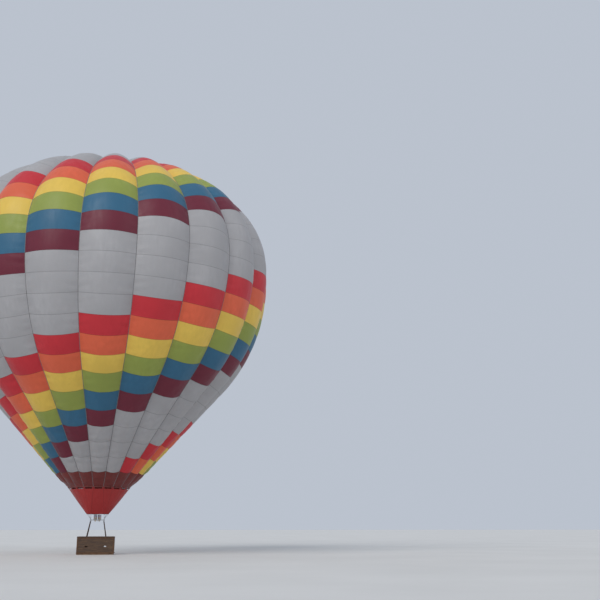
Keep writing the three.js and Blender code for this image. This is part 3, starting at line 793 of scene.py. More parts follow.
def faceted(profile, per_side):
    """A closed profile of (radius at a tape, height) carried round the straight sides between tapes."""
    count = GORES * per_side
    share = np.arange(count) % per_side / per_side * 2 - 1
    azimuth = HALF_GORE * (2 * (np.arange(count) // per_side) + share)
    radius, height = np.array(profile).T[..., None]
    points = polar(azimuth - pi / 2, radius * cos(HALF_GORE) / np.cos(share * HALF_GORE), height=height)
    return points, share, azimuth


def sewn_band(name, finish, node, profile):
    """A closed band of cloth that follows the straight sides between the load tapes."""
    points, _, _ = faceted(profile, 8)
    Piece().add(finish, grid(points, True, True)).made(name, "load_webbing", [node])


def make_vent_seat():
    """A doubled band of cloth that the parachute presses against from below."""
    # Distance along the crown from the vent's edge, depth
    section = [(0.0, 0.0), (0.07, 0.0), (0.14, 0.0), (0.185, 0.001), (0.197, 0.0), (0.2, 0.004),
               (0.197, 0.009), (0.185, 0.007), (0.14, 0.004), (0.07, 0.004), (0.0, 0.004)]
    sewn_band("vent_seat_band", "webbing", "vent_seat", [from_vent_edge(*step) for step in section])


def make_parachute_vent():
    """A disc of cloth that swells up between the crown tapes and lies flat along its edge."""
    rim_r, rim_z, nr, nz = (float(value) for value in meridian(VENT_S + VENT_OVERLAP))
    shape = [
        on_crown(0, -VENT_DROP),
        on_crown(VENT_SHOULDER, -VENT_DROP),
        from_vent_edge(VENT_SEAT * 1.25, VENT_DEPTH),
        from_vent_edge(0, VENT_DEPTH),
        (rim_r - 1.3 * VENT_DEPTH * nr, rim_z - 1.3 * VENT_DEPTH * nz),
    ]
    radii = np.concatenate([[0.012], np.linspace(0.05, shape[-1][0], 44)])
    heights = np.interp(radii, *zip(*shape))
    rng = np.random.default_rng(7)
    points, share, azimuth = faceted(np.stack([radii, heights], axis=1)[::-1], 12)
    reach = radii[::-1][:, None]
    free = np.clip((2.05 - reach) / 0.5, 0, 1) * np.clip(reach / 0.9, 0, 1)
    creases = sum(np.sin(k * azimuth + rng.uniform(0, 6.28) + 1.3 * reach) for k in (47, 61, 83))
    points[..., 2] += free * (VENT_SWELL * (1 - share ** 2) + VENT_CREASE * creases)
    edge = np.abs(np.abs(share) - 1) * reach * sin(HALF_GORE)
    floats = {"row": reach / PANEL_HEIGHT + 0 * share, "edge": np.maximum(edge, 0.02)}
    piece = Piece().add("cloth_white", grid(points, False, True))
    vent = piece.made("parachute_cloth", "vent_fabric", ["parachute_vent"], 180, floats, body="vent")


def make_crown():
    """Twenty tapes from the vent's edge to a round ring, each looped round it and sewn to itself."""
    ring_z = on_crown(CROWN_RING)[1]
    half_width, half_thickness = 0.02, 0.0015
    loop = CROWN_RING_BAR + 0.002
    line = [from_vent_edge(along, -0.002) for along in (0.003, 0.1, VENT_SEAT)]
    line += [on_crown(*spot) for spot in ((1.6, 0.002), (VENT_SHOULDER, 0.003), (0.6, 0.003), (0.32, 0.006))]
    line += [(CROWN_RING + loop * cos(t), ring_z + loop * sin(t)) for t in np.radians(np.arange(90, 291, 25))]
    line = np.array(line + [(0.25, ring_z - 0.004), (0.32, ring_z - 0.002), on_crown(0.42, -0.001)])
    ahead = np.gradient(line, axis=0)
    normal = np.stack([-ahead[:, 1], ahead[:, 0]], axis=1) / np.linalg.norm(ahead, axis=1)[:, None]
    outer, inner = line + half_thickness * normal, line - half_thickness * normal
    tapes = [flat_tape(index, outer, inner, half_width) for index in range(GORES)]
    ring = tube(polar(turns(96), CROWN_RING, height=ring_z), CROWN_RING_BAR, 14, True)
    piece = Piece().add("webbing", *tapes).add("steel", ring)
    piece.made("crown_ring_and_tapes", "load_webbing", ["crown_tapes"])


def make_mouth_hem():
    """The turned hem of the mouth, from the gores' ends down to the heads of the wires."""
    r, z = (float(value) for value in meridian(MOUTH_S)[:2])
    # Outward and upward from the tapes' ends
    section = [(-0.055, -0.056), (-0.03, -0.06), (0.004, -0.059), (0.011, -0.054), (0.012, -0.04),
               (0.008, -0.02), (0.001, -0.001), (-0.008, -0.002), (-0.012, -0.02), (-0.016, -0.045),
               (-0.055, -0.052)]
    sewn_band("mouth_hem_tape", "hem", "mouth_hem", [(r + out, z + rise) for out, rise in section[::-1]])


WIRE_RING = float(meridian(MOUTH_S)[0]) - WIRE_INSET


def wire_point(index, height):
    """A point of a flying wire on its straight line from the karabiner to the mouth."""
    sx, sy = QUADRANTS[index // 5]
    outward = tape_axes(index)[0]
    head = WIRE_RING * outward + WIRE_HEAD * UP
    foot = np.array([sx * FRAME_X, sy * FRAME_Y, WIRE_FOOT]) + KARABINER_SPREAD * outward
    return foot + (head - foot) * (height - WIRE_FOOT) / (WIRE_HEAD - WIRE_FOOT) + BASE * UP


def eye(index, height, direction):
    """The eye at an end of a wire: a loop of the wire, closed by a pressed sleeve."""
    side = tape_axes(index)[1]
    half = [(0.0, 0.11), (0.001, 0.075), (0.006, 0.05), (0.0095, 0.028), (0.0085, 0.011), (0.0, 0.0035)]
    shape = half + [(-across, rise) for across, rise in half[-2::-1]]
    path = [wire_point(index, height + direction * rise) + across * side for across, rise in shape]
    sleeve = [wire_point(index, height + direction * rise) for rise in (0.068, 0.07, 0.105, 0.107)]
    return joined(tube(path, 0.0026, 6), tube(sleeve, [0.0035, 0.0062, 0.0062, 0.0035], 10))


def squared(value, power):
    """A sine or cosine made squarer, for an oval with flatter sides."""
    return np.sign(value) * np.abs(value) ** power


def outward_of(points):
    """The level unit vector from the axis to each point."""
    flat = points * [1, 1, 0]
    return flat / np.linalg.norm(flat, axis=-1)[..., None]


def karabiner(sx, sy):
    """An oval steel ring on its swivel, standing on the corner block of the burner frame."""
    corner = np.array([sx * FRAME_X, sy * FRAME_Y, 0])
    outward = outward_of(corner)
    side = np.array([-outward[1], outward[0], 0])
    middle, stand_off, half_width, half_height = 2.371, 0.017, 0.03, 0.022
    centre = corner + up(middle) * UP + stand_off * outward
    turn = turns(32)[:, None]
    across = half_width * squared(np.cos(turn), 0.7) * side
    path = centre + across + half_height * squared(np.sin(turn), 0.8) * UP
    sleeve = [(-0.013, 0.007), (-0.012, 0.0095), (0.012, 0.0095), (0.013, 0.007)]
    gate = pin(centre + half_width * side, UP, sleeve)
    swivel = [(0.0, 2.3405), (0.016, 2.3405), (0.018, 2.344), (0.013, 2.35), (0.0, 2.352)]
    return joined(tube(path, 0.0062, 10, True), gate, turned(swivel, 20, centre[:2]))


def make_flying_wires(corner):
    """Five wires with their eyes, and the karabiner that holds them at a corner of the burner frame."""
    piece = Piece()
    for index in range(5 * corner, 5 * corner + 5):
        heights = np.linspace(WIRE_FOOT + 0.1, WIRE_HEAD - 0.1, 14)
        piece.add("wire", tube([wire_point(index, h) for h in heights], WIRE_RADIUS, 8))
        piece.add("wire", eye(index, WIRE_FOOT - 0.004, 1), eye(index, WIRE_HEAD, -1))
    piece.add("steel", karabiner(*QUADRANTS[corner]))
    piece.made(f"wire_set_{corner + 1}", "wire_steel", [f"flying_wires_{corner + 1}"], 50)


def make_scoop():
    """A skirt over the wires, full between them, with folds low down, held by a tab at each tape."""
    per_side, rows = 16, 34
    heights = np.linspace(SCOOP_BOTTOM, SCOOP_TOP, rows)
    heights = np.concatenate([heights, np.linspace(SCOOP_TOP, WIRE_HEAD - 0.002, 5)[1:]])
    level = ((heights - SCOOP_BOTTOM) / (SCOOP_TOP - SCOOP_BOTTOM))[:, None]
    share = np.arange(GORES * per_side) / per_side
    index = share.astype(int)
    part = share - index
    arch = 4 * part * (1 - part)
    corners = np.array([
        [wire_point(i, height) + SCOOP_CLEAR * tape_axes(i)[0] for i in range(GORES)] for height in heights
    ])
    here, after = corners[:, index], corners[:, (index + 1) % GORES]
    points = here + (after - here) * part[:, None]
    rng = np.random.default_rng(11)
    folds = sum(np.sin(2 * pi * k * share / GORES + rng.uniform(0, 6.28) + 1.5 * level)
                for k in (31, 43, 57, 73))
    calm = np.clip(1.1 - level, 0, 1) * (0.3 + 0.7 * arch)
    full = SCOOP_FULL * arch * np.sin(np.minimum(level, 1) * pi) ** 0.6
    points += outward_of(points) * (full + SCOOP_FOLD * folds * calm)[..., None]
    points[..., 2] += SCOOP_SCALLOP * np.sin(2 * pi * share)[None] * np.clip(1 - 3 * level, 0, 1)
    from_tape = np.minimum(part, 1 - part) * np.linalg.norm(points[-1, per_side] - points[-1, 0])
    keep = np.ones((len(heights) - 1, len(share)), bool)
    keep[rows - 1:] = np.minimum(from_tape, np.roll(from_tape, -1)) < SCOOP_TAB
    skirt_points, faces = grid(points, False, True)
    skirt = Piece().add("cloth_scoop", (skirt_points, faces[keep.ravel()]))
    row = (level + 0 * share) * 0.999 + 1.0
    edge = from_tape + 0.004 + 0 * level
    skirt = skirt.made("scoop_cloth", "scoop_fabric", ["scoop"], 180, {"row": row, "edge": edge})
    edges = [tube(points[at], bar, 6, True) for at, bar in ((0, 0.006), (rows - 1, 0.0035))]
    Piece().add("scoop_hem", *edges).made("scoop_hem", "scoop_fabric")


def trunnion_ends(start, end, radius):
    """The outer ends of the two pins on the frame's X axis."""
    return [pin((0, 0, up(FRAME_Z)), (side, 0, 0), [(start, radius), (end, radius)], 24) for side in (-1, 1)]


def make_burner_frame():
    """Square tube frame with corner blocks and sockets, its bolts and the gimbal's bushes."""
    piece = Piece().add("alloy", softened("burner_frame", 0.0035))
    for sx, sy in QUADRANTS:
        x, y = sx * FRAME_X, sy * FRAME_Y
        for height in (2.297, 2.322):
            piece.add("steel", hexagon((x + sx * 0.035, y, up(height)), (sx, 0, 0)))
            piece.add("steel", hexagon((x, y + sy * 0.035, up(height)), (0, sy, 0)))
        sleeve = [(0.0292, 2.2205), (0.0308, 2.221), (0.0308, 2.2795), (0.0292, 2.2795)]
        collar = [(0.0302, 2.226), (0.0345, 2.228), (0.0345, 2.246), (0.0302, 2.248)]
        piece.add("alloy", turned(sleeve, 40, (x, y))).add("steel", turned(collar, 40, (x, y)))
    piece.add("steel", *trunnion_ends(0.4701, 0.4735, 0.0175))
    piece.made("burner_frame_tubes", "frame_metal", ["burner_frame"], 20)


def make_gimbal():
    piece = Piece().add("alloy", softened("gimbal_ring", 0.002))
    piece.add("steel", *trunnion_ends(0.4005, 0.4035, 0.016))
    piece.made("gimbal_ring_tubes", "frame_metal", ["gimbal_ring"], 20, body="gimbal")


def make_burner_plate():
    piece = Piece().add("alloy", softened("burner_plate", 0.003))
    for x in (-0.215, 0.0, 0.215):
        for y in (-0.085, 0.085):
            piece.add("steel", hexagon((x, y, up(PLATE_TOP)), UP))
    piece.made("burner_plate_body", "frame_metal", ["burner_plate"], 20, body="burner")


# Heights of the rows of a can, in a can 0.34 high; two rows have slots
CAN_ROWS = [0.0, 0.004, 0.012, 0.03, 0.036, 0.062, 0.068, 0.09, 0.096, 0.122,
            0.128, 0.16, 0.2, 0.24, 0.28, 0.31, 0.325, 0.33, 0.336, 0.34]


def make_can(number, x):
    """A thin can with two rings of air slots, a rolled lip, a floor and rivets."""
    heights = np.array(CAN_ROWS) * (CAN_TOP - CAN_FOOT - 0.004) / CAN_ROWS[-1]
    radius = CAN_RADIUS + 0.004 * heights / heights[-1]
    radius = radius + np.interp(heights, [0.0, 0.002, 0.24, 0.25, 0.26], [-0.003, 0, 0, 0.0012, 0])
    radius = radius[:, None]
    keep = np.ones((len(heights) - 1, 96), bool)
    for row, shift in ((4, 0), (8, 2)):
        keep[row, (np.arange(96) + shift) % 4 < 2] = False
    wall = round_wall(radius, radius - CAN_WALL, up(CAN_FOOT) + heights, (x, 0), keep)
    lip = hoop(0.1175, CAN_TOP - 0.004, 0.004, (x, 0), 72, 10)
    floor = [(0.06, 0.0), (0.113, 0.0), (0.113, 0.006), (0.066, 0.006), (0.06, 0.009)]
    piece = Piece().add("can", wall, lip, turned(floor, 64, (x, 0), up(CAN_FOOT)))
    for k in range(12):
        way = polar(k * pi / 6 + 0.13)
        foot = (x, 0, up(CAN_FOOT) + 0.017)
        piece.add("can", pin(foot, way, [(0.1148, 0.0035), (0.117, 0.003), (0.1178, 0.0012)], 8))
    piece.made(f"burner_can_{number}_skin", "can_steel", [f"burner_can_{number}"], body="burner")


def make_coil(number, x):
    """The vaporiser: a pipe wound up the can and led down its middle to a jet ring, and the pilot light."""
    low = up(COIL_LOW)
    angle = np.linspace(0, 2 * pi * COIL_TURNS, 190)
    climb = low + COIL_PITCH * angle / (2 * pi)
    last, high = angle[-1], climb[-1]
    start = [(x + 0.03, 0.02, low), (x + 0.045, 0.01, low), (x + 0.07, -0.008, low)]
    # Radius, turn past the last of the helix, height
    inward = [(0.08, 0.25, high + 0.003), (0.06, 0.5, high + 0.003), (0.045, 0.75, high - 0.01),
              (0.042, 0.9, high - 0.05), (0.042, 0.9, low + 0.06), (0.042, 0.9, low + 0.02)]
    inward = [polar(last + turn, radius, (x, 0), height) for radius, turn, height in inward]
    pipe = tube(np.concatenate([start, polar(angle, COIL_RADIUS, (x, 0), climb), inward]), COIL_PIPE, 12)
    piece = Piece().add("coil", pipe, hoop(JET_RING, COIL_LOW + 0.012, 0.008, (x, 0), 40, 10))
    piece.add("steel", pin((x - 0.02, -0.02, low), UP, [(0, 0.009), (0.05, 0.009), (0.052, 0.012)], 14))
    for k in range(16):
        foot = polar(k * pi / 8, JET_RING, (x, 0), low + 0.019)
        piece.add("steel", pin(foot, UP, [(0, 0.0034), (0.007, 0.003), (0.009, 0.0015)], 6))
    for sx, sy in QUADRANTS[1:]:
        piece.add("steel", pin((x + 0.0518 * sx, 0.0518 * sy, low), UP, [(0, 0.0025), (0.17, 0.0025)], 6))
    piece.made(f"burner_coil_{number}_pipe", "coil_steel", [f"burner_coil_{number}"], 60, body="burner")


def make_valves():
    """Valve blocks with lever sleeves, pressure gauges, hand wheels and hose unions."""
    piece = Piece().add("brass", softened("blast_valves", 0.003))
    low, face = up(VALVE_LOW), 0.0601
    for side, grip in ((-1, "red_grip"), (1, "blue_grip")):
        x = side * BURNER_X
        corners = (x - 0.0145, -0.2195, low + 0.0095), (x + 0.0145, -0.115, low + 0.0285)
        piece.add(grip, rounded_box(*corners, 0.006))
        for spot in ((x, face, low + 0.055), (x - side * 0.02, face, low + 0.03)):
            piece.add("brass", pin(spot, (0, 1, 0), [(0, 0.012), (0.0179, 0.012)], 6))
            piece.add("brass", pin(spot, (0, 1, 0), [(0.0179, 0.0095), (0.0279, 0.0095)], 20))
        dial = (x, -face, low + 0.055)
        case = [(0, 0.006), (0.0059, 0.006), (0.0064, 0.017), (0.0179, 0.0175), (0.0199, 0.015)]
        piece.add("steel", pin(dial, (0, -1, 0), case, 28))
        piece.add("face", pin(dial, (0, -1, 0), [(0.02, 0.0135), (0.0204, 0.0135)], 28))
        middle = (x, -face - 0.02, dial[2])
        for t in np.radians(np.arange(-45, 226, 30)):
            piece.add(grip, pin(middle, (cos(t), 0, sin(t)), [(0.01, 0.0005), (0.0125, 0.0005)], 6))
        piece.add(grip, pin(middle, (cos(2.2), 0, sin(2.2)), [(-0.003, 0.001), (0.0095, 0.0006)], 6))
        for dx in (-0.034, 0.034):
            piece.add("steel", hexagon((x + dx, -face, low + 0.062), (0, -1, 0), 0.005, 0.005))
        hub = np.array([x, 0.02, low + 0.04])
        piece.add("steel", pin(hub, (side, 0, 0), [(0.0451, 0.006), (0.07, 0.006)]))
        piece.add(grip, *hand_wheel(hub + (side * 0.072, 0, 0), (side, 0, 0), 0.022, 0.004, 28, 0.3))
    piece.made("blast_valve_set", "valve_brass", ["blast_valves"], 20, body="burner")


def make_upright(corner):
    """A padded sleeve over the upright, closed by a seam and three cuffs."""
    sx, sy = QUADRANTS[corner]
    foot = np.array([sx * UPRIGHT_FOOT_X, sy * (BASKET_Y - WALL / 2), up(UPRIGHT_LOW)])
    way = np.array([sx * FRAME_X, sy * FRAME_Y, up(UPRIGHT_HIGH)]) - foot
    rng = np.random.default_rng(60 + corner)
    share = np.linspace(0, 1, 90)
    swell = SLEEVE + 0.0006 * np.sin(share * 47 + rng.uniform(0, 6))
    swell = swell + 0.0005 * np.sin(share * 113 + rng.uniform(0, 6))
    ends = np.clip(np.minimum(share, 1 - share) / 0.012, 0, 1)
    swell = swell * (0.75 + 0.25 * np.sqrt(ends))
    name = f"upright_{corner + 1}"
    sleeve = Piece().add("sleeve", tube(foot + way * share[:, None], swell, 20))
    sleeve = sleeve.made(f"{name}_sleeve", "upright_leather", [name], 70)
    # Distance along, radius
    cuff = [(-0.0145, 0.0266), (-0.013, 0.0284), (0.013, 0.0284), (0.0145, 0.0266)]
    bands = [pin(foot + way * middle, way, cuff, 24) for middle in (0.035, 0.5, 0.965)]
    inward = np.array([-sx, -sy, 0]) / sqrt(2) * 0.0268
    seam = tube([foot + way * t + inward for t in np.linspace(0.03, 0.97, 30)], 0.0022, 6)
    Piece().add("strap", *bands, seam).made(f"{name}_cuffs", "upright_leather")


def rounded_rectangle(half_x, half_y, radius, step):
    """Points counter-clockwise round a rounded rectangle, evenly spaced, with the outward normals."""
    path = []
    for k, (sx, sy) in enumerate(QUADRANTS):
        turn = np.linspace(0, pi / 2, 16) + (k - 1) * pi / 2
        path += [*polar(turn, radius, (sx * (half_x - radius), sy * (half_y - radius)))[:, :2]]
    path = np.array(path + path[:1])
    length = np.concatenate([[0], np.cumsum(np.linalg.norm(np.diff(path, axis=0), axis=1))])
    count = round(length[-1] / step)
    at = np.arange(count) * length[-1] / count
    points = np.stack([np.interp(at, length, path[:, axis]) for axis in (0, 1)], axis=1)
    ahead = np.roll(points, -1, axis=0) - np.roll(points, 1, axis=0)
    ahead /= np.linalg.norm(ahead, axis=1)[:, None]
    return points, np.stack([ahead[:, 1], -ahead[:, 0]], axis=1)


def wicker_relief(u, v):
    """Depth below the crests of cane woven round upright stakes, at u along and v up the wall."""
    row = np.floor(v / WEAVER)
    across = 2 * (v / WEAVER - row) - 1
    bow = np.sqrt(np.maximum(1 - across ** 2, 0))
    swing = np.cos(pi * (u / STAKE + row))
    weaver = 0.004 + bow * (0.0065 + 0.005 * swing)
    from_stake = (u / STAKE - np.round(u / STAKE)) * STAKE
    stake = 0.0115 * np.sqrt(np.maximum(1 - (from_stake / STAKE_HALF) ** 2, 0))
    return np.maximum(weaver, stake) - WEAVE_DEPTH, weaver >= stake, row.astype(int)


def wicker_wall(seed, half_length, low, high, thickness, holes):
    """A woven panel in its own frame: x along, y outward, z up. Returns the form with strand and crest."""
    steps_u = round(2 * half_length / STAKE * 5)
    steps_v = round((high - low) / WEAVER * 3)
    u = np.linspace(-half_length, half_length, steps_u + 1)
    v = np.linspace(low, high, steps_v + 1)
    grid_u, grid_v = np.meshgrid(u, v)
    depth, in_front, row = wicker_relief(grid_u, grid_v)
    back_depth = wicker_relief(grid_u + STAKE, grid_v)[0]
    outer = np.stack([grid_u, thickness / 2 + depth, grid_v], axis=2)
    inner = np.stack([grid_u, -thickness / 2 - back_depth, grid_v], axis=2)
    tones = np.random.default_rng(seed).uniform(0, 1, (200, 40))
    part = np.clip((grid_u + half_length) / 0.35 + tones[row % 200, 0], 0, 39).astype(int)
    strand = np.where(in_front, tones[row % 200, part], 0.3 + 0.4 * tones[part, 3])
    crest = 1 + np.array([depth, back_depth]) / WEAVE_DEPTH
    middle_u, middle_v = (u[1:] + u[:-1]) / 2, (v[1:] + v[:-1]) / 2
    keep = np.ones((steps_v, steps_u), bool)
    for hole_u, hole_v, wide, tall in holes:
        near_u, near_v = np.abs(middle_u - hole_u) < wide / 2, np.abs(middle_v - hole_v) < tall / 2
        keep &= ~(near_u[None] & near_v[:, None])
    return shell(outer, inner, keep), {"strand": np.array([strand, strand]), "crest": crest}


def set_along(form, centre, along):
    """Stands a form from its own frame (x along, y outward, z up) on a wall."""
    points, faces = form
    along = np.array([*along, 0.0])
    placed = points[:, :1] * along + points[:, 1:2] * np.cross(along, UP) + points[:, 2:] * UP
    return placed + np.array([*centre, BASE]), faces


def hole_trim(u, v, wide, tall):
    """A leather sleeve round a foot hole with a lip on each face."""
    path, outward = rounded_rectangle(wide / 2 - 0.002, tall / 2 - 0.002, 0.022, 0.012)
    profile = [(0.0, 0.02), (0.012, 0.0225), (0.014, 0.0195), (0.0, 0.017), (-0.003, 0.0), (0.0, -0.017),
               (0.014, -0.0195), (0.012, -0.0225), (0.0, -0.02), (-0.007, 0.0)]
    rows = []
    for out, deep in profile:
        x, z = (path + outward * out).T
        rows.append(np.column_stack([u + x, np.full(len(x), deep), v + z]))
    return grid(np.array(rows), True, True)


def strip(flat, out, heights, thick, wrap=False):
    """Leather laid on the wicker along plan points, with its thickness by height."""
    outer, inner = (
        np.array([np.column_stack([flat + out * (LEATHER_PROUD + deep), np.full(len(flat), up(height))])
                  for height, deep in zip(heights, deeps)])
        for deeps in (thick, 0 * thick)
    )
    return shell(outer, inner, None, wrap)


def band_round(low, high):
    """A leather band round the basket from low to high."""
    path, outward = rounded_rectangle(BASKET_X, BASKET_Y, 0.02, 0.03)
    return strip(path, outward, np.linspace(low, high, 4), LEATHER * np.array([0.6, 1.0, 1.0, 0.6]), True)


def corner_cover(sx, sy, low, high):
    """A leather strip bent round a corner of the basket, with its slanted lacing."""
    turn = np.linspace(0, pi / 2, 8)
    bend = polar(turn, COVER_CORNER, (BASKET_X - COVER_CORNER, BASKET_Y - COVER_CORNER))[:, :2]
    first, last = (BASKET_X, BASKET_Y - COVER_REACH), (BASKET_X - COVER_REACH, BASKET_Y)
    flat = np.array([first, *bend, last]) * [sx, sy]
    out = np.array([(1, 0), *polar(turn)[:, :2], (0, 1)]) * [sx, sy]
    if sx * sy < 0:
        flat, out = flat[::-1], out[::-1]
    lacing = []
    for height in np.arange(low + 0.04, high - 0.04, 0.06):
        for face in (0, 1):
            ends = []
            for far, rise in ((COVER_REACH - 0.012, 0.0), (COVER_REACH + 0.014, 0.028)):
                out_x, out_y = (0.0065, -far) if face == 0 else (-far, 0.0065)
                ends.append((sx * (BASKET_X + out_x), sy * (BASKET_Y + out_y), up(height + rise)))
            lacing.append(tube(ends, 0.0022, 6))
    return strip(flat, out, np.linspace(low, high, 30), np.full(30, LEATHER)), lacing


def handle(centre, along):
    """A leather loop between two pads, to lift the basket by."""
    share = np.linspace(0, 1, 26)
    lift = 0.004 + 0.03 * np.sin(share * pi) ** 0.7
    x = HANDLE_WIDTH * (share - 0.5)
    columns = [np.stack([x, lift + deep, HANDLE_HEIGHT + across + 0 * share], axis=1)
               for across, deep in ((-0.018, 0.006), (0.018, 0.006), (0.018, 0.0), (-0.018, 0.0))]
    pads = [rounded_box((x - 0.025, 0.0, HANDLE_HEIGHT - 0.024), (x + 0.025, 0.007, HANDLE_HEIGHT + 0.024))
            for x in (-HANDLE_WIDTH / 2, HANDLE_WIDTH / 2)]
    return [set_along(form, centre, along) for form in (grid(np.stack(columns, axis=1), False, True), *pads)]


def make_rim():
    """A stuffed suede roll round the top, drawn in where it is sewn, with lacing under its outer edge."""
    half_width, half_height, step, stitch = 0.045, 0.0398, 0.02, 0.3
    path, outward = rounded_rectangle(RIM_X, RIM_Y, RIM_CORNER, step)
    way = np.arange(len(path)) * step
    pinch = 1 - 0.05 * np.exp(-((way + stitch / 2) % stitch - stitch / 2) ** 2 / 0.0004)
    ripple = 1 + 0.012 * np.sin(way * 90) * (0.5 + 0.5 * np.sin(way * 3.1))
    rows = []
    for t in turns(22):
        wide = half_width * squared(cos(t), 0.8)
        high = half_height * squared(sin(t), 0.8)
        bulge, rise = pinch, np.full(len(path), high)
        if high > 0:
            bulge = pinch * ripple
            rise = high * bulge
        rows.append(np.column_stack([path + outward * (wide * bulge)[:, None], up(RIM_MIDDLE) + rise]))
    roll = Piece().add("suede", grid(np.array(rows), True, True))
    roll = roll.made("padded_rim_roll", "rim_leather", ["padded_rim"], 70)
    lacing = []
    for k in range(0, len(path), 3):
        low = np.append(path[k] + outward[k] * 0.0215, up(1.1))
        high = np.append(path[(k + 1) % len(path)] + outward[k] * 0.036, up(1.138))
        lacing.append(tube([low, (low + high) / 2 + np.append(outward[k] * 0.004, 0), high], 0.0024, 6))
    Piece().add("thong", *lacing).made("rim_lacing", "rim_leather")


def make_floor_deck():
    """Boards with small gaps and screw heads."""
    half_x, half_y = BASKET_X - WALL - CLEAR, BASKET_Y - WALL - CLEAR
    step, gap = 2 * half_y / BOARDS, 0.0024
    piece = Piece()
    for low in -half_y + step * np.arange(BOARDS):
        corners = (-half_x, low + gap / 2, up(WALL_LOW)), (half_x, low + step - gap / 2, up(DECK))
        piece.add("deck", rounded_box(*corners, 0.0025))
        for x in (-1.1, -0.75, 0.0, 0.75, 1.1):
            for y in (low + 0.03, low + step - 0.03):
                piece.add("steel", pin((x, y, up(DECK)), UP, [(-0.001, 0.0045), (0.0006, 0.0038)], 8))
    piece.made("floor_boards", "floor_wood", ["floor"])


def make_skids():
    """Three runners with raised ends, two battens let into them, and bolt heads below."""
    # X and height of one end, from its top corner down
    end = [(BASKET_X, 0.05), (BASKET_X, 0.03), (1.235, 0.012), (1.2, 0.0)]
    profile = [(-x, z) for x, z in end] + end[::-1]
    side = BASKET_Y - SKID_HALF
    piece = Piece()
    for y in (-side, 0.0, side):
        body = bmesh.new()
        face = body.faces.new([body.verts.new((x, y - SKID_HALF, up(z))) for x, z in profile])
        pushed = bmesh.ops.extrude_face_region(body, geom=[face])["geom"]
        pushed = [v for v in pushed if isinstance(v, bmesh.types.BMVert)]
        bmesh.ops.translate(body, vec=(0, 2 * SKID_HALF, 0), verts=pushed)
        bmesh.ops.recalc_face_normals(body, faces=body.faces)
        piece.add("runner", rounded(body, body.edges, 0.004))
        for x in (-1.1, -0.75, 0.75, 1.1):
            piece.add("steel", pin((x, y, up(0)), UP, [(0.0005, 0.011), (0.003, 0.011)]))
    side -= SKID_CLEAR
    for x in (-0.75, 0.75):
        corners = (x - SKID_HALF, -side, up(0.0255)), (x + SKID_HALF, side, up(0.0495))
        piece.add("runner", rounded_box(*corners))
    piece.made("skid_runners", "skid_wood", ["skids"])


# Height above the cylinder's foot, and radius; it is drawn in under the two belts
JACKET = [
    (0.0, 0.13), (0.008, 0.141), (0.03, 0.1455), (0.1, 0.1465), (0.2, 0.1455), (0.21, 0.1415),
    (0.22, 0.1455), (0.3, 0.147), (0.4, 0.147), (0.46, 0.1455), (0.47, 0.1415), (0.48, 0.1455),
    (0.55, 0.147), (0.65, 0.1465), (0.71, 0.146), (0.73, 0.144), (0.742, 0.141), (0.748, 0.137),
]
# Radius, height above the shoulder
TANK = [(0.0, -0.8), (0.125, -0.8), (0.138, -0.78), (0.138, -0.075), (0.13, -0.045), (0.108, -0.016),
        (0.075, -0.003), (0.0, 0.0)]
NECK = [(0.0, -0.01), (0.036, -0.01), (0.036, 0.012), (0.02, 0.018), (0.017, 0.05), (0.0, 0.05)]


def make_jacket(number, centre):
    """A quilted jacket, slumped a little."""
    rng = np.random.default_rng(90 + number)
    heights, reach = np.array(JACKET).T
    tall, reach = heights[:, None], reach[:, None]
    quilt = 1 - 0.026 * np.abs(np.cos(turns(96) * 6)) ** 6 * np.clip((tall[-1] - tall) / 0.03, 0.2, 1)
    slump = 1 + 0.004 * np.sin(3 * turns(96) + rng.uniform(0, 6)) * np.sin(tall * 9)
    radius = reach * quilt * slump
    pad = Piece().add("jacket", round_wall(radius, radius * 0.965, up(CYLINDER_FOOT) + heights, centre))
    pad = pad.made(f"cylinder_{number}_jacket", "cylinder_metal", (), 60)


def make_cylinder(number):
    """A fuel cylinder in its jacket, with a slotted guard ring, a valve, two belts and their buckles."""
    x, y = CYLINDER_X, (number - 2.5) * CYLINDER_SPACING
    foot, top = up(CYLINDER_FOOT), up(SHOULDER)
    make_jacket(number, (x, y))
    rows = top + np.array([-0.006, 0.03, 0.045, 0.05, 0.085, 0.09, 0.1, 0.12])
    keep = np.ones((7, 96), bool)
    for middle in (16, 48, 80):
        keep[3, middle - 6:middle + 6] = False
        keep[2:5, middle - 5:middle + 5] = False
    guard = round_wall(GUARD, GUARD - GUARD_WALL, rows, (x, y), keep)
    piece = Piece().add("tank", turned(TANK, 48, (x, y), top), guard)
    piece.add("tank", hoop(GUARD - GUARD_WALL / 2, SHOULDER + 0.118, 0.0035, (x, y)))
    for height in BELTS:
        low, high = foot + height - 0.026, foot + height + 0.026
        piece.add("tank", rounded_box((x - 0.1515, y - 0.025, low), (x - 0.1455, y + 0.025, high), 0.002))
    outlet = pin((x, y, top + 0.034), (-1, 0, 0), [(0.012, 0.011), (0.055, 0.011)], 16)
    stem = pin((x, y, top), UP, [(0.045, 0.006), (0.063, 0.006)])
    piece.add("brass", turned(NECK, 28, (x, y), top), outlet, stem)
    # Radius, height
    belt = [(0.1435, -0.02), (0.1462, -0.018), (0.1462, 0.018), (0.1435, 0.02)]
    piece.add("strap", *(turned(belt, 96, (x, y), foot + height) for height in BELTS))
    piece.add("strap", *hand_wheel((x, y, top + 0.062), UP, 0.026, 0.0045, 32, 0.2))
    piece.made(f"fuel_cylinder_{number}_body", "cylinder_metal", [f"fuel_cylinder_{number}"], 45)


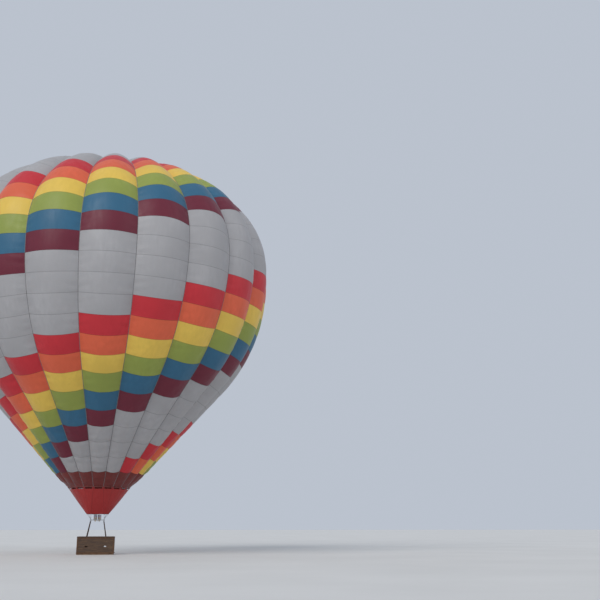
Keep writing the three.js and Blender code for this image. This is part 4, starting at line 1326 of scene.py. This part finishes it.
def make_walls():
    """The six woven walls. Returns the trims of their foot holes."""
    holes = [(x, HOLE_MIDDLE, HOLE_WIDTH, HOLE_HEIGHT) for x in (-HOLE_X, HOLE_X)]
    mid_x, mid_y = BASKET_X - WALL / 2, BASKET_Y - WALL / 2
    long, short = BASKET_X - CLEAR, BASKET_Y - WALL - CLEAR
    outer, inner = (WALL_LOW, WALL_TOP, WALL), (DECK + CLEAR, INNER_TOP, INNER_WALL)
    # Name, solid, centre, direction, half length, (low, high, thickness), foot holes
    walls = [
        ("front", "wall_front", (0, -mid_y), (1, 0), long, outer, holes),
        ("back", "wall_back", (0, mid_y), (-1, 0), long, outer, holes),
        ("left", "wall_left", (-mid_x, 0), (0, -1), short, outer, ()),
        ("right", "wall_right", (mid_x, 0), (0, 1), short, outer, ()),
        ("cross", "inner_wall_cross", (CROSS_X, 0), (0, 1), short, inner, ()),
        ("long", "inner_wall_long", (-0.3875, 0), (1, 0), 0.8215, inner, ()),
    ]
    trims = []
    for seed, (name, node, centre, along, half, size, openings) in enumerate(walls, 1):
        form, floats = wicker_wall(seed, half, *size, openings)
        piece = Piece().add("wicker", set_along(form, centre, along))
        piece.made(f"wicker_{name}", "wicker", [node], 55, floats)
        trims += [set_along(hole_trim(*hole), centre, along) for hole in openings]
    return trims


def make_basket():
    leather = Piece().add("hide", *make_walls())
    leather.add("hide", band_round(0.053, 0.17), band_round(1.055, 1.118))
    for sx, sy in QUADRANTS:
        cover, lacing = corner_cover(sx, sy, 0.172, 1.053)
        leather.add("hide", cover).add("thong", *lacing)
    low, high, end = up(INNER_TOP - 0.005), up(INNER_TOP + 0.006), BASKET_Y - WALL - CLEAR
    leather.add("hide", rounded_box((CROSS_X - 0.02, -end, low), (CROSS_X + 0.02, end, high), 0.004))
    leather.add("hide", rounded_box((-1.209, -0.02, low), (CROSS_X - 0.02, 0.02, high), 0.004))
    for sx in (-1, 1):
        for y in (-0.4, 0.4):
            leather.add("hide", *handle((sx * (BASKET_X + 0.0055), y), (0, sx)))
        for sy in (-1, 1):
            leather.add("hide", *handle((sx * 0.95, sy * (BASKET_Y + 0.0055)), (-sy, 0)))
    leather.made("basket_leather", "wicker")
    make_rim()
    make_floor_deck()
    make_skids()
    for number in range(1, 5):
        make_cylinder(number)


make_camera()
make_studio()
make_floor()
for number in range(1, GORES + 1):
    make_gore(number)
Piece().add("webbing", *map(load_tape, range(GORES))).made("load_tapes", "load_webbing", (), 60)
make_vent_seat()
make_parachute_vent()
make_crown()
make_mouth_hem()
for corner in range(4):
    make_flying_wires(corner)
    make_upright(corner)
make_scoop()
make_burner_frame()
make_gimbal()
make_burner_plate()
for number, x in ((1, -BURNER_X), (2, BURNER_X)):
    make_can(number, x)
    make_coil(number, x)
make_valves()
make_basket()
